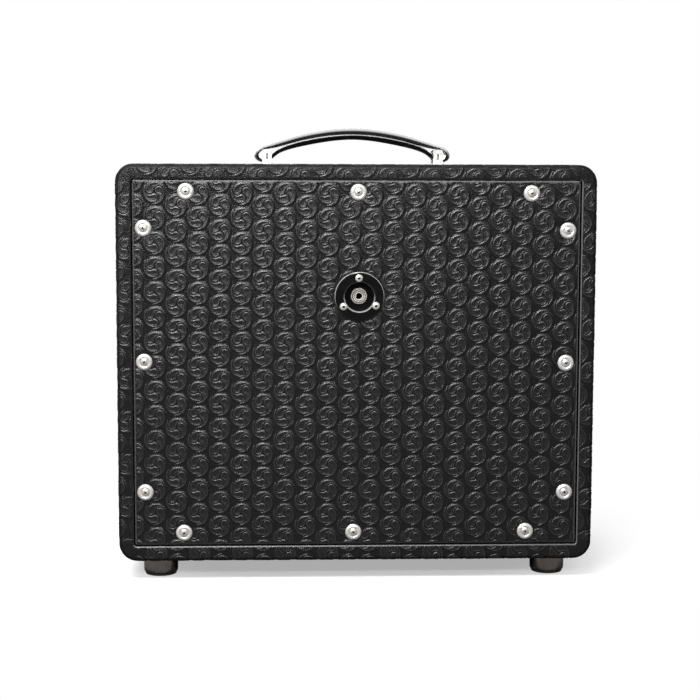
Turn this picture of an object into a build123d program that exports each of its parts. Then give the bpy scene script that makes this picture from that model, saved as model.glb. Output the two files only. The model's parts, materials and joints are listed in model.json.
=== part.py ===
from build123d import *
import os
from math import cos, sin, radians, pi, atan2

os.makedirs("parts", exist_ok=True)

# Closed-back 1x12 loudspeaker cabinet of a tube amplifier rig.
# Millimetres, +Z up. Origin on the floor under the centre of the body.
# The grille faces -Y, the screwed rear panel with the input jack faces +Y.

# ---------------------------------------------------------------- driving dimensions
BODY_W = 480.0          # outside width over the covering
BODY_H = 400.0          # outside height of the body, feet not counted
BODY_D = 260.0          # outside depth
FOOT_H = 20.0           # the feet lift the body this far off the floor
VINYL = 0.8             # thickness of the embossed covering
BOARD = 13.8            # plywood of the carcass, sold as 14 mm
CORNER_R = 18.0         # outside corner radius seen from behind
RIM_R = 4.0             # rounding of the outer edge of the front and rear rims
FINGERS = 13            # fingers along each corner joint

PANEL_BOARD = 12.0      # plywood of the rear panel
PANEL_W = 447.2         # rear panel over its covering
PANEL_H = 368.4
PANEL_MID_Z = FOOT_H + 200.2
PANEL_RECESS = 2.8      # rear panel sits this far inside the rear rim
FOAM = 2.0              # compressed sealing foam under the rear panel
BATTEN_D = 18.0         # depth of the battens glued inside
FRONT_BATTEN_W = 18.0
REAR_BATTEN_W = 22.0

BAFFLE_T = 15.0
BAFFLE_FACE = -112.0    # front face of the baffle
CUTOUT_R = 141.5        # speaker opening
BOLT_PCR = 148.7        # pitch circle radius of the speaker bolts
GRILLE_T = 10.0         # thickness of the grille frame
GRILLE_GAP = 3.7        # between the grille cloth and the covering all round
CLOTH = 0.6             # thickness of the grille cloth

HANDLE_HALF = 90.5      # bracket centre from the middle of the handle
BRACKET_SCREW_Y = 20.5
HANDLE_HOLE_R = 2.1     # holes for the handle screws
FOOT_X = 200.0
FOOT_Y = 95.0
FOOT_HOLE_R = 2.42      # holes for the foot screws

JACK_X = -2.4           # jack centre in the rear panel
JACK_Z = FOOT_H + 268.1
DISH_HOLE_R = 17.2      # hole in the rear panel for the jack dish
DISH_SCREW_PCR = 18.75  # pitch circle radius of the dish screws
DISH_SCREW_ANGLES = (91.5, 211.5, 331.5)
DISH_PILOT_R = 1.52     # holes for the dish screws
PANEL_HOLE_R = 2.4      # holes for the rear panel screws

# ---------------------------------------------------------------- derived
MID_Z = FOOT_H + BODY_H / 2
TOP = FOOT_H + BODY_H               # top surface of the body
REAR = BODY_D / 2
BARE_W, BARE_H, BARE_D = BODY_W - 2 * VINYL, BODY_H - 2 * VINYL, BODY_D - 2 * VINYL
INNER_W, INNER_H = BARE_W - 2 * BOARD, BARE_H - 2 * BOARD        # bare inside of the carcass
OPEN_W, OPEN_H = INNER_W - 2 * VINYL, INNER_H - 2 * VINYL        # over the turned-in covering
INNER_TOP = MID_Z + INNER_H / 2
INNER_BOTTOM = MID_Z - INNER_H / 2
PANEL_FACE = REAR - PANEL_RECESS             # outer face of the rear panel covering
PANEL_IN = PANEL_FACE - VINYL - PANEL_BOARD  # inner face of the rear panel board
BATTEN_FACE = PANEL_IN - FOAM                # rear face of the rear battens
BAFFLE_BACK = BAFFLE_FACE + BAFFLE_T


# ---------------------------------------------------------------- helpers
def save(name, part):
    part.label = name
    export_step(part, f"parts/{name}.step")


def facing_front(y):
    """Plane at depth y, read as seen from the front, extruding towards -Y."""
    return Plane(origin=(0, y, 0), x_dir=(1, 0, 0), z_dir=(0, -1, 0))


def facing_rear(y):
    """Plane at depth y, read as seen from behind (local x is -X), extruding towards +Y."""
    return Plane(origin=(0, y, 0), x_dir=(-1, 0, 0), z_dir=(0, 1, 0))


def pointing_front(x, y, z):
    """Location that turns a part's own +Z to -Y."""
    return Location((x, y, z), (90, 0, 0))


def pointing_rear(x, y, z):
    """Location that turns a part's own +Z to +Y."""
    return Location((x, y, z), (-90, 0, 0))


def four_corners(x, y, mid_y=0):
    return [(sx * x, mid_y + sy * y) for sx in (-1, 1) for sy in (-1, 1)]


def band(points, thickness):
    """Closed outline of a strip: one side is the polyline, the other lies to its left.

    A negative thickness puts the other side to the right.
    """
    other_side = []
    last = len(points) - 1
    for i, (x, y) in enumerate(points):
        before, after = points[max(i - 1, 0)], points[min(i + 1, last)]
        if i > 0:
            heading_in = atan2(y - before[1], x - before[0])
        else:
            heading_in = atan2(after[1] - y, after[0] - x)
        heading_out = atan2(after[1] - y, after[0] - x) if i < last else heading_in
        turn = (heading_out - heading_in + pi) % (2 * pi) - pi
        offset = thickness / max(0.5, cos(turn / 2))   # limits the mitre at sharp turns
        heading = heading_in + turn / 2
        other_side.append((x - sin(heading) * offset, y + cos(heading) * offset))
    return points + other_side[::-1]


def turned(outline, plane=Plane.XZ, axis=Axis.Z):
    """Solid of revolution; by default the outline is (radius, z) about the Z axis."""
    with BuildPart() as body:
        with BuildSketch(plane):
            with BuildLine():
                Polyline(*outline, close=True)
            make_face()
        revolve(axis=axis)
    return body.part


def turned_along_y(outline, x=0, z=MID_Z):
    """Solid of revolution about the line through (x, z) along Y; the outline is (radius, y)."""
    plane = Plane(origin=(x, 0, z), x_dir=(1, 0, 0), z_dir=(0, 0, 1))
    return turned(outline, plane, Axis((x, 0, z), (0, 1, 0)))


def cross_screw(outline, recess_z, length, width, depth):
    """Screw along its own +Z with a cross recess centred at recess_z."""
    shank = turned(outline)
    with BuildPart() as screw:
        add(shank)
        with Locations((0, 0, recess_z)):
            Box(length, width, depth, mode=Mode.SUBTRACT)
            Box(width, length, depth, mode=Mode.SUBTRACT)
    return screw.part


def save_copies(name, part, locations):
    with BuildPart() as copies:
        with Locations(*locations):
            add(part)
    save(name, copies.part)


def save_rings(name, centres, layers):
    """Flat rings at every centre; a layer is (plane, outer radius, inner radius, thickness)."""
    with BuildPart() as rings:
        for plane, outer_r, inner_r, thickness in layers:
            with BuildSketch(plane):
                with Locations(*centres):
                    Circle(outer_r)
                    Circle(inner_r, mode=Mode.SUBTRACT)
            extrude(amount=thickness)
    save(name, rings.part)


# ---------------------------------------------------------------- fixing places
# Rear panel screws as seen from behind: right, up from the bottom of the body.
REAR_SCREWS = [
    (-170.5, 372.9), (1.1, 372.4), (174.5, 371.6),
    (-212.7, 336.3), (211.5, 334.5),
    (-212.9, 202.7), (211.3, 201.1),
    (-212.9, 70.4), (211.8, 68.8),
    (-174.2, 28.7), (-3.0, 28.6), (172.3, 28.6),
]
# The rear panel and dish places are (-X, Z), the baffle and bolt ones (X, Z).
REAR_AT = [(x, z + FOOT_H) for x, z in REAR_SCREWS]
DISH_SCREW_AT = [(-JACK_X + DISH_SCREW_PCR * cos(radians(angle)),
                  JACK_Z + DISH_SCREW_PCR * sin(radians(angle)))
                 for angle in DISH_SCREW_ANGLES]
BAFFLE_AT = [(sx * x, MID_Z + sz * z) for x, z in ((130, 177), (217, 120))
             for sz in (-1, 1) for sx in (-1, 1)]
BOLT_AT = [(BOLT_PCR * cos(radians(22.5 + 45 * i)), MID_Z + BOLT_PCR * sin(radians(22.5 + 45 * i)))
           for i in range(8)]
# Seen from above, (X, Y).
FOOT_AT = four_corners(FOOT_X, FOOT_Y)
HANDLE_AT = four_corners(HANDLE_HALF, BRACKET_SCREW_Y)

# ================================================================ carcass
# Outer solid of the bare plywood box, rounded at corners and rims. The boards are cut from it.
with BuildPart() as carcass_block:
    with BuildSketch(facing_rear(-BARE_D / 2)):
        with Locations((0, MID_Z)):
            RectangleRounded(BARE_W, BARE_H, CORNER_R - VINYL)
    extrude(amount=BARE_D)
    fillet(carcass_block.faces().filter_by(Axis.Y).edges(), RIM_R - VINYL)

FINGER = BODY_D / FINGERS
CUTTER = 40             # cutting blocks reach this far out from the bare inside
CUTTER_ACROSS = 60      # size of a finger cutter across the board
CUTTER_X = INNER_W / 2 + CUTTER / 2
CUTTER_Z = INNER_H / 2 + CUTTER / 2


def finger_centres(first):
    """Depths of every second finger, starting with the first (0) or the second (1)."""
    return [-REAR + FINGER * (i + 0.5) for i in range(first, FINGERS, 2)]


def level_board(side, hole_r, holes_at, hole_z):
    """Top (side 1) or bottom (side -1) board with its screw holes."""
    board_z = MID_Z + side * CUTTER_Z
    with BuildPart() as board:
        add(carcass_block.part)
        with BuildSketch(facing_rear(-REAR)):
            with Locations((0, board_z)):
                Rectangle(BODY_W + 4, CUTTER)
        extrude(amount=BODY_D, mode=Mode.INTERSECT)
        for y in finger_centres(1):
            with Locations((-CUTTER_X, y, board_z), (CUTTER_X, y, board_z)):
                Box(CUTTER, FINGER, CUTTER_ACROSS, mode=Mode.SUBTRACT)
        with Locations(*[(x, y, hole_z) for x, y in holes_at]):
            Cylinder(hole_r, 60, mode=Mode.SUBTRACT)
    return board.part


def side_board(side):
    """Left (side -1) or right (side 1) board as seen from the front."""
    board_x = side * CUTTER_X
    with BuildPart() as board:
        add(carcass_block.part)
        with BuildSketch(facing_front(REAR)):
            with Locations((board_x, MID_Z)):
                Rectangle(CUTTER, BODY_H + 4)
        extrude(amount=BODY_D, mode=Mode.INTERSECT)
        for y in finger_centres(0):
            with Locations((board_x, y, MID_Z - CUTTER_Z), (board_x, y, MID_Z + CUTTER_Z)):
                Box(CUTTER_ACROSS, FINGER, CUTTER, mode=Mode.SUBTRACT)
    return board.part


save("top_board", level_board(1, HANDLE_HOLE_R, HANDLE_AT, TOP))
save("bottom_board", level_board(-1, FOOT_HOLE_R, FOOT_AT, FOOT_H))
save("left_board", side_board(-1))
save("right_board", side_board(1))

# One skin of embossed vinyl: round the outside, over both rims and turned in at both openings.
with BuildPart() as cabinet_covering:
    with BuildSketch(facing_rear(-REAR)):
        with Locations((0, MID_Z)):
            RectangleRounded(BODY_W, BODY_H, CORNER_R)
    extrude(amount=BODY_D)
    fillet(cabinet_covering.faces().filter_by(Axis.Y).edges(), RIM_R)
    add(carcass_block.part, mode=Mode.SUBTRACT)
    # turned-in margins line the wall between the rim and the baffle or the rear battens
    for start_y, end_y in ((-REAR + VINYL, BAFFLE_FACE), (BATTEN_FACE, REAR - VINYL)):
        with BuildSketch(facing_rear(start_y)):
            with Locations((0, MID_Z)):
                Rectangle(INNER_W, INNER_H)
        extrude(amount=end_y - start_y)
    with BuildSketch(facing_rear(-REAR - 1)):
        with Locations((0, MID_Z)):
            RectangleRounded(OPEN_W, OPEN_H, 1.2)
    extrude(amount=BODY_D + 2, mode=Mode.SUBTRACT)
    with Locations(*[(x, y, TOP) for x, y in HANDLE_AT]):
        Cylinder(HANDLE_HOLE_R, 8, mode=Mode.SUBTRACT)
    with Locations(*[(x, y, FOOT_H) for x, y in FOOT_AT]):
        Cylinder(FOOT_HOLE_R, 8, mode=Mode.SUBTRACT)
save("cabinet_covering", cabinet_covering.part)


def battens(plane, width, holes_at, hole_r):
    """Four battens round the inside; the upright ones stop 0.2 short at each end."""
    with BuildPart() as frame:
        with BuildSketch(plane):
            with Locations((0, INNER_TOP - width / 2), (0, INNER_BOTTOM + width / 2)):
                Rectangle(INNER_W, width)
            with Locations((-INNER_W / 2 + width / 2, MID_Z), (INNER_W / 2 - width / 2, MID_Z)):
                Rectangle(width, INNER_H - 2 * width - 0.4)
            with Locations(*holes_at):
                Circle(hole_r, mode=Mode.SUBTRACT)
        extrude(amount=BATTEN_D)
    return frame.part


# Battens behind the baffle, and those that take the rear panel screws.
save("front_battens", battens(facing_rear(BAFFLE_BACK), FRONT_BATTEN_W, BAFFLE_AT, 1.92))
save("rear_battens", battens(facing_front(BATTEN_FACE), REAR_BATTEN_W,
                             [(-x, z) for x, z in REAR_AT], 2.12))

# ================================================================ front: baffle and grille
BAFFLE_COUNTERSINK = [(0, BAFFLE_FACE), (4.3, BAFFLE_FACE),
                      (1.9, BAFFLE_FACE + 2.6), (0, BAFFLE_FACE + 2.6)]
baffle_countersinks = [turned_along_y(BAFFLE_COUNTERSINK, x, z) for x, z in BAFFLE_AT]
with BuildPart() as baffle_board:
    with BuildSketch(facing_rear(BAFFLE_FACE)):
        with Locations((0, MID_Z)):
            Rectangle(INNER_W - 0.6, INNER_H - 0.6)
            Circle(CUTOUT_R, mode=Mode.SUBTRACT)
        with Locations(*BAFFLE_AT):
            Circle(1.95, mode=Mode.SUBTRACT)
        with Locations(*BOLT_AT):
            Circle(3.45, mode=Mode.SUBTRACT)
    extrude(amount=BAFFLE_T)
    for countersink in baffle_countersinks:
        add(countersink, mode=Mode.SUBTRACT)
save("baffle_board", baffle_board.part)

# Countersunk wood screw, head face at 0; the outline is (radius, z).
wood_screw = cross_screw(
    [(0, 0), (4.2, 0), (1.88, -2.5), (1.88, -25), (0.3, -30), (0, -30)],
    recess_z=-0.7, length=4.6, width=0.9, depth=1.6)
save_copies("baffle_screws", wood_screw,
            [pointing_front(x, BAFFLE_FACE, z) for x, z in BAFFLE_AT])

# Tee nuts pressed into the baffle from the front: flange and barrel.
TEE_FLANGE_T = 1.2
TEE_BORE_R = 2.55
save_rings("tee_nuts", BOLT_AT, [
    (facing_rear(BAFFLE_FACE - TEE_FLANGE_T), 7.0, TEE_BORE_R, TEE_FLANGE_T),
    (facing_rear(BAFFLE_FACE), 3.4, TEE_BORE_R, 9),
])

PAD_T = 1.0                                   # hook and loop pads, one on the other
GRILLE_BACK = BAFFLE_FACE - 2 * PAD_T
GRILLE_W, GRILLE_H = OPEN_W - 2 * GRILLE_GAP, OPEN_H - 2 * GRILLE_GAP       # over the cloth
FRAME_W, FRAME_H = GRILLE_W - 2 * CLOTH, GRILLE_H - 2 * CLOTH
FRAME_R = 3             # outer corner radius of the frame
with BuildPart() as grille_frame:
    with BuildSketch(facing_front(GRILLE_BACK)):
        with Locations((0, MID_Z)):
            RectangleRounded(FRAME_W, FRAME_H, FRAME_R)
            RectangleRounded(GRILLE_W - 56, GRILLE_H - 56, 8, mode=Mode.SUBTRACT)
    extrude(amount=GRILLE_T)
save("grille_frame", grille_frame.part)

# Woven cloth stretched over the frame and down its edges.
with BuildPart() as grille_cloth:
    with BuildSketch(facing_front(GRILLE_BACK)):
        with Locations((0, MID_Z)):
            RectangleRounded(GRILLE_W, GRILLE_H, FRAME_R + CLOTH)
    extrude(amount=GRILLE_T + CLOTH)
    with BuildSketch(facing_front(GRILLE_BACK)):
        with Locations((0, MID_Z)):
            RectangleRounded(FRAME_W, FRAME_H, FRAME_R)
    extrude(amount=GRILLE_T, mode=Mode.SUBTRACT)
save("grille_cloth", grille_cloth.part)

# Round cord between the grille and the cabinet.
PIPING_R = 1.55
PIPING_OUT = PIPING_R + 0.05                  # centre of the cord outside the cloth
PIPING_Y = GRILLE_BACK - GRILLE_T + 1.0
with BuildPart() as grille_piping:
    with BuildSketch(facing_front(PIPING_Y)) as piping_path:
        with Locations((0, MID_Z)):
            RectangleRounded(GRILLE_W + 2 * PIPING_OUT, GRILLE_H + 2 * PIPING_OUT,
                             FRAME_R + CLOTH + PIPING_OUT)
    with BuildSketch(Plane(origin=(0, PIPING_Y, MID_Z + GRILLE_H / 2 + PIPING_OUT),
                           x_dir=(0, 1, 0), z_dir=(1, 0, 0))) as piping_section:
        Circle(PIPING_R)
    sweep(sections=piping_section.sketch, path=piping_path.sketch.face().outer_wire())
save("grille_piping", grille_piping.part)

# Fastening pads between grille and baffle: loop pads on the baffle, hook pads in front of them.
for pad_name, pad_back in (("grille_hook_pads", BAFFLE_FACE - PAD_T),
                           ("grille_loop_pads", BAFFLE_FACE)):
    with BuildPart() as pads:
        with BuildSketch(facing_front(pad_back)):
            with Locations(*four_corners(208, 172, MID_Z)):
                RectangleRounded(18, 18, 2)
        extrude(amount=PAD_T)
    save(pad_name, pads.part)

# ================================================================ rear panel
with BuildPart() as rear_gasket:
    with BuildSketch(facing_rear(BATTEN_FACE)):
        with Locations((0, MID_Z)):
            Rectangle(PANEL_W - 6, PANEL_H - 6)
            Rectangle(PANEL_W - 30, PANEL_H - 30, mode=Mode.SUBTRACT)
        with Locations(*REAR_AT):
            Circle(2.6, mode=Mode.SUBTRACT)
    extrude(amount=FOAM)
save("rear_gasket", rear_gasket.part)

PANEL_BARE_W, PANEL_BARE_H = PANEL_W - 2 * VINYL, PANEL_H - 2 * VINYL
with BuildPart() as rear_panel:
    with BuildSketch(facing_rear(PANEL_IN)):
        with Locations((0, PANEL_MID_Z)):
            Rectangle(PANEL_BARE_W, PANEL_BARE_H)
        with Locations(*REAR_AT):
            Circle(PANEL_HOLE_R, mode=Mode.SUBTRACT)
        with Locations((-JACK_X, JACK_Z)):
            Circle(DISH_HOLE_R, mode=Mode.SUBTRACT)
        with Locations(*DISH_SCREW_AT):
            Circle(DISH_PILOT_R, mode=Mode.SUBTRACT)
    extrude(amount=PANEL_BOARD)
save("rear_panel", rear_panel.part)

# Embossed vinyl over the outside and the edges of the rear panel.
with BuildPart() as rear_panel_covering:
    with BuildSketch(facing_rear(PANEL_IN)):
        with Locations((0, PANEL_MID_Z)):
            RectangleRounded(PANEL_W, PANEL_H, 0.8)
    extrude(amount=PANEL_BOARD + VINYL)
    with BuildSketch(facing_rear(PANEL_IN)):
        with Locations((0, PANEL_MID_Z)):
            Rectangle(PANEL_BARE_W, PANEL_BARE_H)
    extrude(amount=PANEL_BOARD, mode=Mode.SUBTRACT)
    with BuildSketch(facing_rear(PANEL_IN)):
        with Locations(*REAR_AT):
            Circle(PANEL_HOLE_R)
        with Locations((-JACK_X, JACK_Z)):
            Circle(DISH_HOLE_R)
        with Locations(*DISH_SCREW_AT):
            Circle(DISH_PILOT_R)
    extrude(amount=PANEL_BOARD + VINYL + 1, mode=Mode.SUBTRACT)
save("rear_panel_covering", rear_panel_covering.part)

REAR_SCREW_LOCATIONS = [pointing_rear(-x, PANEL_FACE, z) for x, z in REAR_AT]

# Pressed cup washer, seat at 0; the outline is (radius, z).
CUP_R = 8.25
cup_washer = turned([(2.4, 0), (CUP_R, 0), (CUP_R, 0.35), (7.3, 1.35),
                     (6.0, 2.1), (5.1, 2.2), (4.9, 2.05), (2.4, 0.45)])
save_copies("rear_panel_cup_washers", cup_washer, REAR_SCREW_LOCATIONS)

# Raised countersunk screw; the seat of its cup washer is at 0. The outline is (radius, z).
cup_screw = cross_screw(
    [(0, 2.78), (1.4, 2.72), (2.8, 2.55), (4.0, 2.27), (4.75, 1.98),
     (2.1, 0.28), (2.1, -25), (0.4, -30), (0, -30)],
    recess_z=2.2, length=5.0, width=1.1, depth=2.4)
save_copies("rear_panel_screws", cup_screw, REAR_SCREW_LOCATIONS)

# ================================================================ jack dish and jack
DISH_R = 25.0
DISH_FACE = PANEL_FACE + 1.8           # outer face of the dish rim
DISH_FLOOR_IN = PANEL_FACE - 14.2      # inner face of the dish floor, inside the cabinet
DISH_FLOOR_OUT = DISH_FLOOR_IN + 2.0
JACK_HOLE_R = 4.85                     # clears the threaded bushing

# Round dish sunk into the panel; the outlines are (radius, y).
dish_body = turned_along_y([
    (JACK_HOLE_R, DISH_FLOOR_IN), (16.4, DISH_FLOOR_IN), (16.9, DISH_FLOOR_IN + 0.6),
    (16.9, PANEL_FACE), (DISH_R, PANEL_FACE), (DISH_R, PANEL_FACE + 0.9),
    (DISH_R - 0.35, PANEL_FACE + 1.5), (DISH_R - 1.0, DISH_FACE), (15.6, DISH_FACE),
    (15.0, DISH_FACE - 0.25), (14.7, DISH_FACE - 0.9), (14.4, DISH_FLOOR_OUT + 0.8),
    (13.6, DISH_FLOOR_OUT), (JACK_HOLE_R, DISH_FLOOR_OUT),
], JACK_X, JACK_Z)
DISH_COUNTERSINK = [(0, PANEL_FACE - 0.5), (1.6, PANEL_FACE - 0.5), (1.6, PANEL_FACE + 0.2),
                    (3.45, PANEL_FACE + 1.85), (0, PANEL_FACE + 1.85)]
dish_countersinks = [turned_along_y(DISH_COUNTERSINK, -x, z) for x, z in DISH_SCREW_AT]
with BuildPart() as jack_dish:
    add(dish_body)
    for countersink in dish_countersinks:
        add(countersink, mode=Mode.SUBTRACT)
save("jack_dish", jack_dish.part)

# Small raised countersunk screws of the dish, panel face at 0; the outline is (radius, z).
dish_screw = cross_screw(
    [(0, 2.75), (1.6, 2.65), (3.0, 2.3), (3.95, 1.86), (3.3, 1.82),
     (1.5, 0.14), (1.5, -7), (0.3, -10), (0, -10)],
    recess_z=2.2, length=3.6, width=0.9, depth=2.0)
save_copies("jack_dish_screws", dish_screw,
            [pointing_rear(-x, PANEL_FACE, z) for x, z in DISH_SCREW_AT])

NUT_T = 2.4
WASHER_FACE = DISH_FLOOR_OUT + 0.9
NUT_FACE = WASHER_FACE + NUT_T
JACK_MOUTH = NUT_FACE + 0.9
save("jack_washer", turned_along_y([
    (JACK_HOLE_R, DISH_FLOOR_OUT), (8.15, DISH_FLOOR_OUT), (8.15, DISH_FLOOR_OUT + 0.6),
    (7.85, WASHER_FACE), (JACK_HOLE_R, WASHER_FACE),
], JACK_X, JACK_Z))

# Turned blank with a bevelled face, then trimmed to a hexagon.
nut_blank = turned_along_y([
    (JACK_HOLE_R, WASHER_FACE), (6.6, WASHER_FACE), (6.6, NUT_FACE - 0.8),
    (5.9, NUT_FACE), (JACK_HOLE_R, NUT_FACE),
], JACK_X, JACK_Z)
with BuildPart() as jack_nut:
    add(nut_blank)
    with BuildSketch(facing_front(NUT_FACE + 0.1)):
        with Locations((JACK_X, JACK_Z)):
            Circle(9)
            RegularPolygon(6.35, 6, major_radius=False, mode=Mode.SUBTRACT)
    extrude(amount=NUT_T + 0.1, mode=Mode.SUBTRACT)
save("jack_nut", jack_nut.part)

# Frame of the open jack: threaded bushing, front plate and the arm of the contact stack.
JACK_BORE_R = 3.2                      # takes a 6.35 mm phone plug
BUSHING_R = 4.75
COLLAR_R = 5.6
FRAME_T = 1.6
ARM_Z = JACK_Z + 12.4                  # underside of the arm
STACK_LENGTH = 10.0
STACK_FRONT = DISH_FLOOR_IN - 15.0     # end of the contact stack away from the panel
STACK_MID = STACK_FRONT + STACK_LENGTH / 2
RIVET_HOLE_R = 1.05
COLLAR_IN = DISH_FLOOR_IN - FRAME_T - 1.2
bushing = turned_along_y([
    (JACK_BORE_R, COLLAR_IN), (COLLAR_R, COLLAR_IN), (COLLAR_R, DISH_FLOOR_IN - FRAME_T),
    (COLLAR_R, DISH_FLOOR_IN), (BUSHING_R, DISH_FLOOR_IN), (BUSHING_R, JACK_MOUTH - 0.5),
    (4.25, JACK_MOUTH), (3.55, JACK_MOUTH), (JACK_BORE_R, JACK_MOUTH - 0.35),
], JACK_X, JACK_Z)
with BuildPart() as jack_frame:
    add(bushing)
    with BuildSketch(facing_front(DISH_FLOOR_IN)):
        with Locations((JACK_X, JACK_Z + 2.7)):
            RectangleRounded(15, 22.6, 1.5)
        with Locations((JACK_X, JACK_Z)):
            Circle(4.0, mode=Mode.SUBTRACT)
    extrude(amount=FRAME_T)
    with Locations((JACK_X, DISH_FLOOR_IN - 14.5, ARM_Z + FRAME_T / 2)):
        Box(10, 27.4, FRAME_T)
    with Locations((JACK_X, STACK_MID, ARM_Z)):
        Cylinder(RIVET_HOLE_R, 8, mode=Mode.SUBTRACT)
save("jack_frame", jack_frame.part)

with BuildPart() as jack_insulators:
    for drop, thickness in ((0.9, 1.8), (3.1, 1.4)):
        with Locations((JACK_X, STACK_MID, ARM_Z - drop)):
            Box(10, STACK_LENGTH, thickness)
    with Locations((JACK_X, STACK_MID, ARM_Z - 2.0)):
        Cylinder(RIVET_HOLE_R, 40, mode=Mode.SUBTRACT)
save("jack_insulators", jack_insulators.part)

# Fixed root of the tip contact with its solder lug (-X), and the lug of the frame (+X).
LEAF_T = 0.6
TIP_DROP = 2.1          # middle of the tip contact below the arm
FRAME_DROP = 4.1        # middle of the frame lug below the arm
LUG_HOLE_X = 9.6        # solder holes from the jack axis
with BuildPart() as jack_lugs:
    for side, drop, root_length in ((-1, TIP_DROP, STACK_LENGTH), (1, FRAME_DROP, 9)):
        with Locations((JACK_X, STACK_MID, ARM_Z - drop)):
            Box(7, root_length, LEAF_T)
        with Locations((JACK_X + side * 7.0, STACK_MID, ARM_Z - drop)):
            Box(9, 3.6, LEAF_T)
    with Locations(*[(JACK_X + x, STACK_MID, ARM_Z) for x in (-LUG_HOLE_X, LUG_HOLE_X, 0)]):
        Cylinder(RIVET_HOLE_R, 20, mode=Mode.SUBTRACT)
save("jack_lugs", jack_lugs.part)

# Rivet through the stack: shank and two heads.
with BuildPart() as jack_rivet:
    with Locations((JACK_X, STACK_MID, ARM_Z - 1.4)):
        Cylinder(1.0, 6.0)
    with Locations((JACK_X, STACK_MID, ARM_Z - 4.75), (JACK_X, STACK_MID, ARM_Z + 1.95)):
        Cylinder(2.0, 0.7)
save("jack_rivet", jack_rivet.part)

# Free part of the tip contact: a leaf that a plug lifts out of its way. The path is (y, z).
LEAF_Z = ARM_Z - TIP_DROP
LEAF_Y = STACK_FRONT - 0.12
LEAF_PATH = [(LEAF_Y, LEAF_Z - LEAF_T / 2), (LEAF_Y - 9.0, LEAF_Z - LEAF_T / 2),
             (LEAF_Y - 12.2, JACK_Z + 2.6), (LEAF_Y - 13.4, JACK_Z + 2.6),
             (LEAF_Y - 16.2, LEAF_Z - 3.4)]
with BuildPart() as jack_tip_spring:
    with BuildSketch(Plane(origin=(JACK_X, 0, 0), x_dir=(0, 1, 0), z_dir=(1, 0, 0))):
        with BuildLine():
            Polyline(*band(LEAF_PATH, -LEAF_T), close=True)
        make_face()
    extrude(amount=2.75, both=True)
save("jack_tip_spring", jack_tip_spring.part)

# ================================================================ loudspeaker
# Outlines in this section are (radius, y) about the speaker axis.
FLANGE_Y = BAFFLE_BACK + 3.6           # front face of the basket flange
SHEET = 1.6                            # sheet metal of the flange and the terminal tab
TOP_PLATE_Y, TOP_PLATE_T = -22.0, 8    # front face and thickness
MAGNET_Y, MAGNET_T = TOP_PLATE_Y + TOP_PLATE_T, 20
MAGNET_BACK = MAGNET_Y + MAGNET_T

with BuildPart() as speaker_gasket:
    with BuildSketch(facing_rear(BAFFLE_BACK)):
        with Locations((0, MID_Z)):
            Circle(153.5)
            Circle(142.0, mode=Mode.SUBTRACT)
        with Locations(*BOLT_AT):
            Circle(2.9, mode=Mode.SUBTRACT)
    extrude(amount=3.0)
save("speaker_gasket", speaker_gasket.part)

basket_shell = turned_along_y([
    (154.5, FLANGE_Y), (154.5, FLANGE_Y + 4.2), (152.9, FLANGE_Y + 4.2),
    (152.9, FLANGE_Y + SHEET), (142.6, FLANGE_Y + SHEET), (139.2, FLANGE_Y + 6.4),
    (67.2, -43.6), (53.6, -43.6), (53.6, TOP_PLATE_Y), (24.2, TOP_PLATE_Y), (24.2, -23.6),
    (52.0, -23.6), (52.0, -45.2), (66.2, -45.2), (137.9, FLANGE_Y + 5.2), (140.6, FLANGE_Y),
])
# One window between two legs: radius, degrees from the middle of the window.
WINDOW = [(76, -14.5), (131, -17.5), (131, -6), (131, 6), (131, 17.5),
          (76, 14.5), (76, 5), (76, -5)]
with BuildPart() as speaker_basket:
    add(basket_shell)
    with BuildSketch(facing_rear(-87.5)):
        for i in range(8):
            with BuildLine():
                Polyline(*[(radius * cos(radians(45.0 * i + angle)),
                            MID_Z + radius * sin(radians(45.0 * i + angle)))
                           for radius, angle in WINDOW], close=True)
            make_face()
    extrude(amount=48, mode=Mode.SUBTRACT)
    # tab for the terminal strip
    with Locations((0, -36.8, MID_Z + 65)):
        Box(16, SHEET, 26)
    with Locations(*[pointing_front(x, FLANGE_Y, z) for x, z in BOLT_AT]):
        Cylinder(2.8, 12, mode=Mode.SUBTRACT)
save("speaker_basket", speaker_basket.part)


def magnet_disc(front_y, thickness, outer_r, inner_r, bevel):
    """Flat ring with both outer edges bevelled."""
    with BuildPart() as disc:
        with BuildSketch(facing_rear(front_y)):
            with Locations((0, MID_Z)):
                Circle(outer_r)
                Circle(inner_r, mode=Mode.SUBTRACT)
        extrude(amount=thickness)
        chamfer(disc.faces().filter_by(Axis.Y).edges().filter_by(lambda e: e.radius > 60), bevel)
    return disc.part


save("magnet_top_plate", magnet_disc(TOP_PLATE_Y, TOP_PLATE_T, 62, 23.4, bevel=0.8))
save("magnet_ring", magnet_disc(MAGNET_Y, MAGNET_T, 70, 31, bevel=1.6))

# Back plate and pole piece in one forging, vented through the middle.
save("pole_piece", turned_along_y([
    (6, -21.4), (20.8, -21.4), (21.3, -20.9), (21.3, MAGNET_BACK), (66, MAGNET_BACK),
    (66, 12.4), (64.4, 14), (8, 14), (6, 12),
]))

save("speaker_cone", turned_along_y(band(
    [(22.3, -48.0), (30.0, -50.4), (60.0, -61.8), (95.0, -76.3), (118.0, -86.4),
     (134.0, FLANGE_Y - 0.7)], 0.7)))

save("dust_cap", turned_along_y(band(
    [(0.0, -67.4), (12.0, -66.0), (22.0, -62.8), (31.0, -57.6), (37.6, -53.55)], -0.7)))

# Former with its winding.
save("voice_coil", turned_along_y([
    (21.9, -49.5), (22.25, -49.5), (22.25, -26.0), (22.8, -26.0), (22.8, -10.0), (21.9, -10.0),
]))

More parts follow.
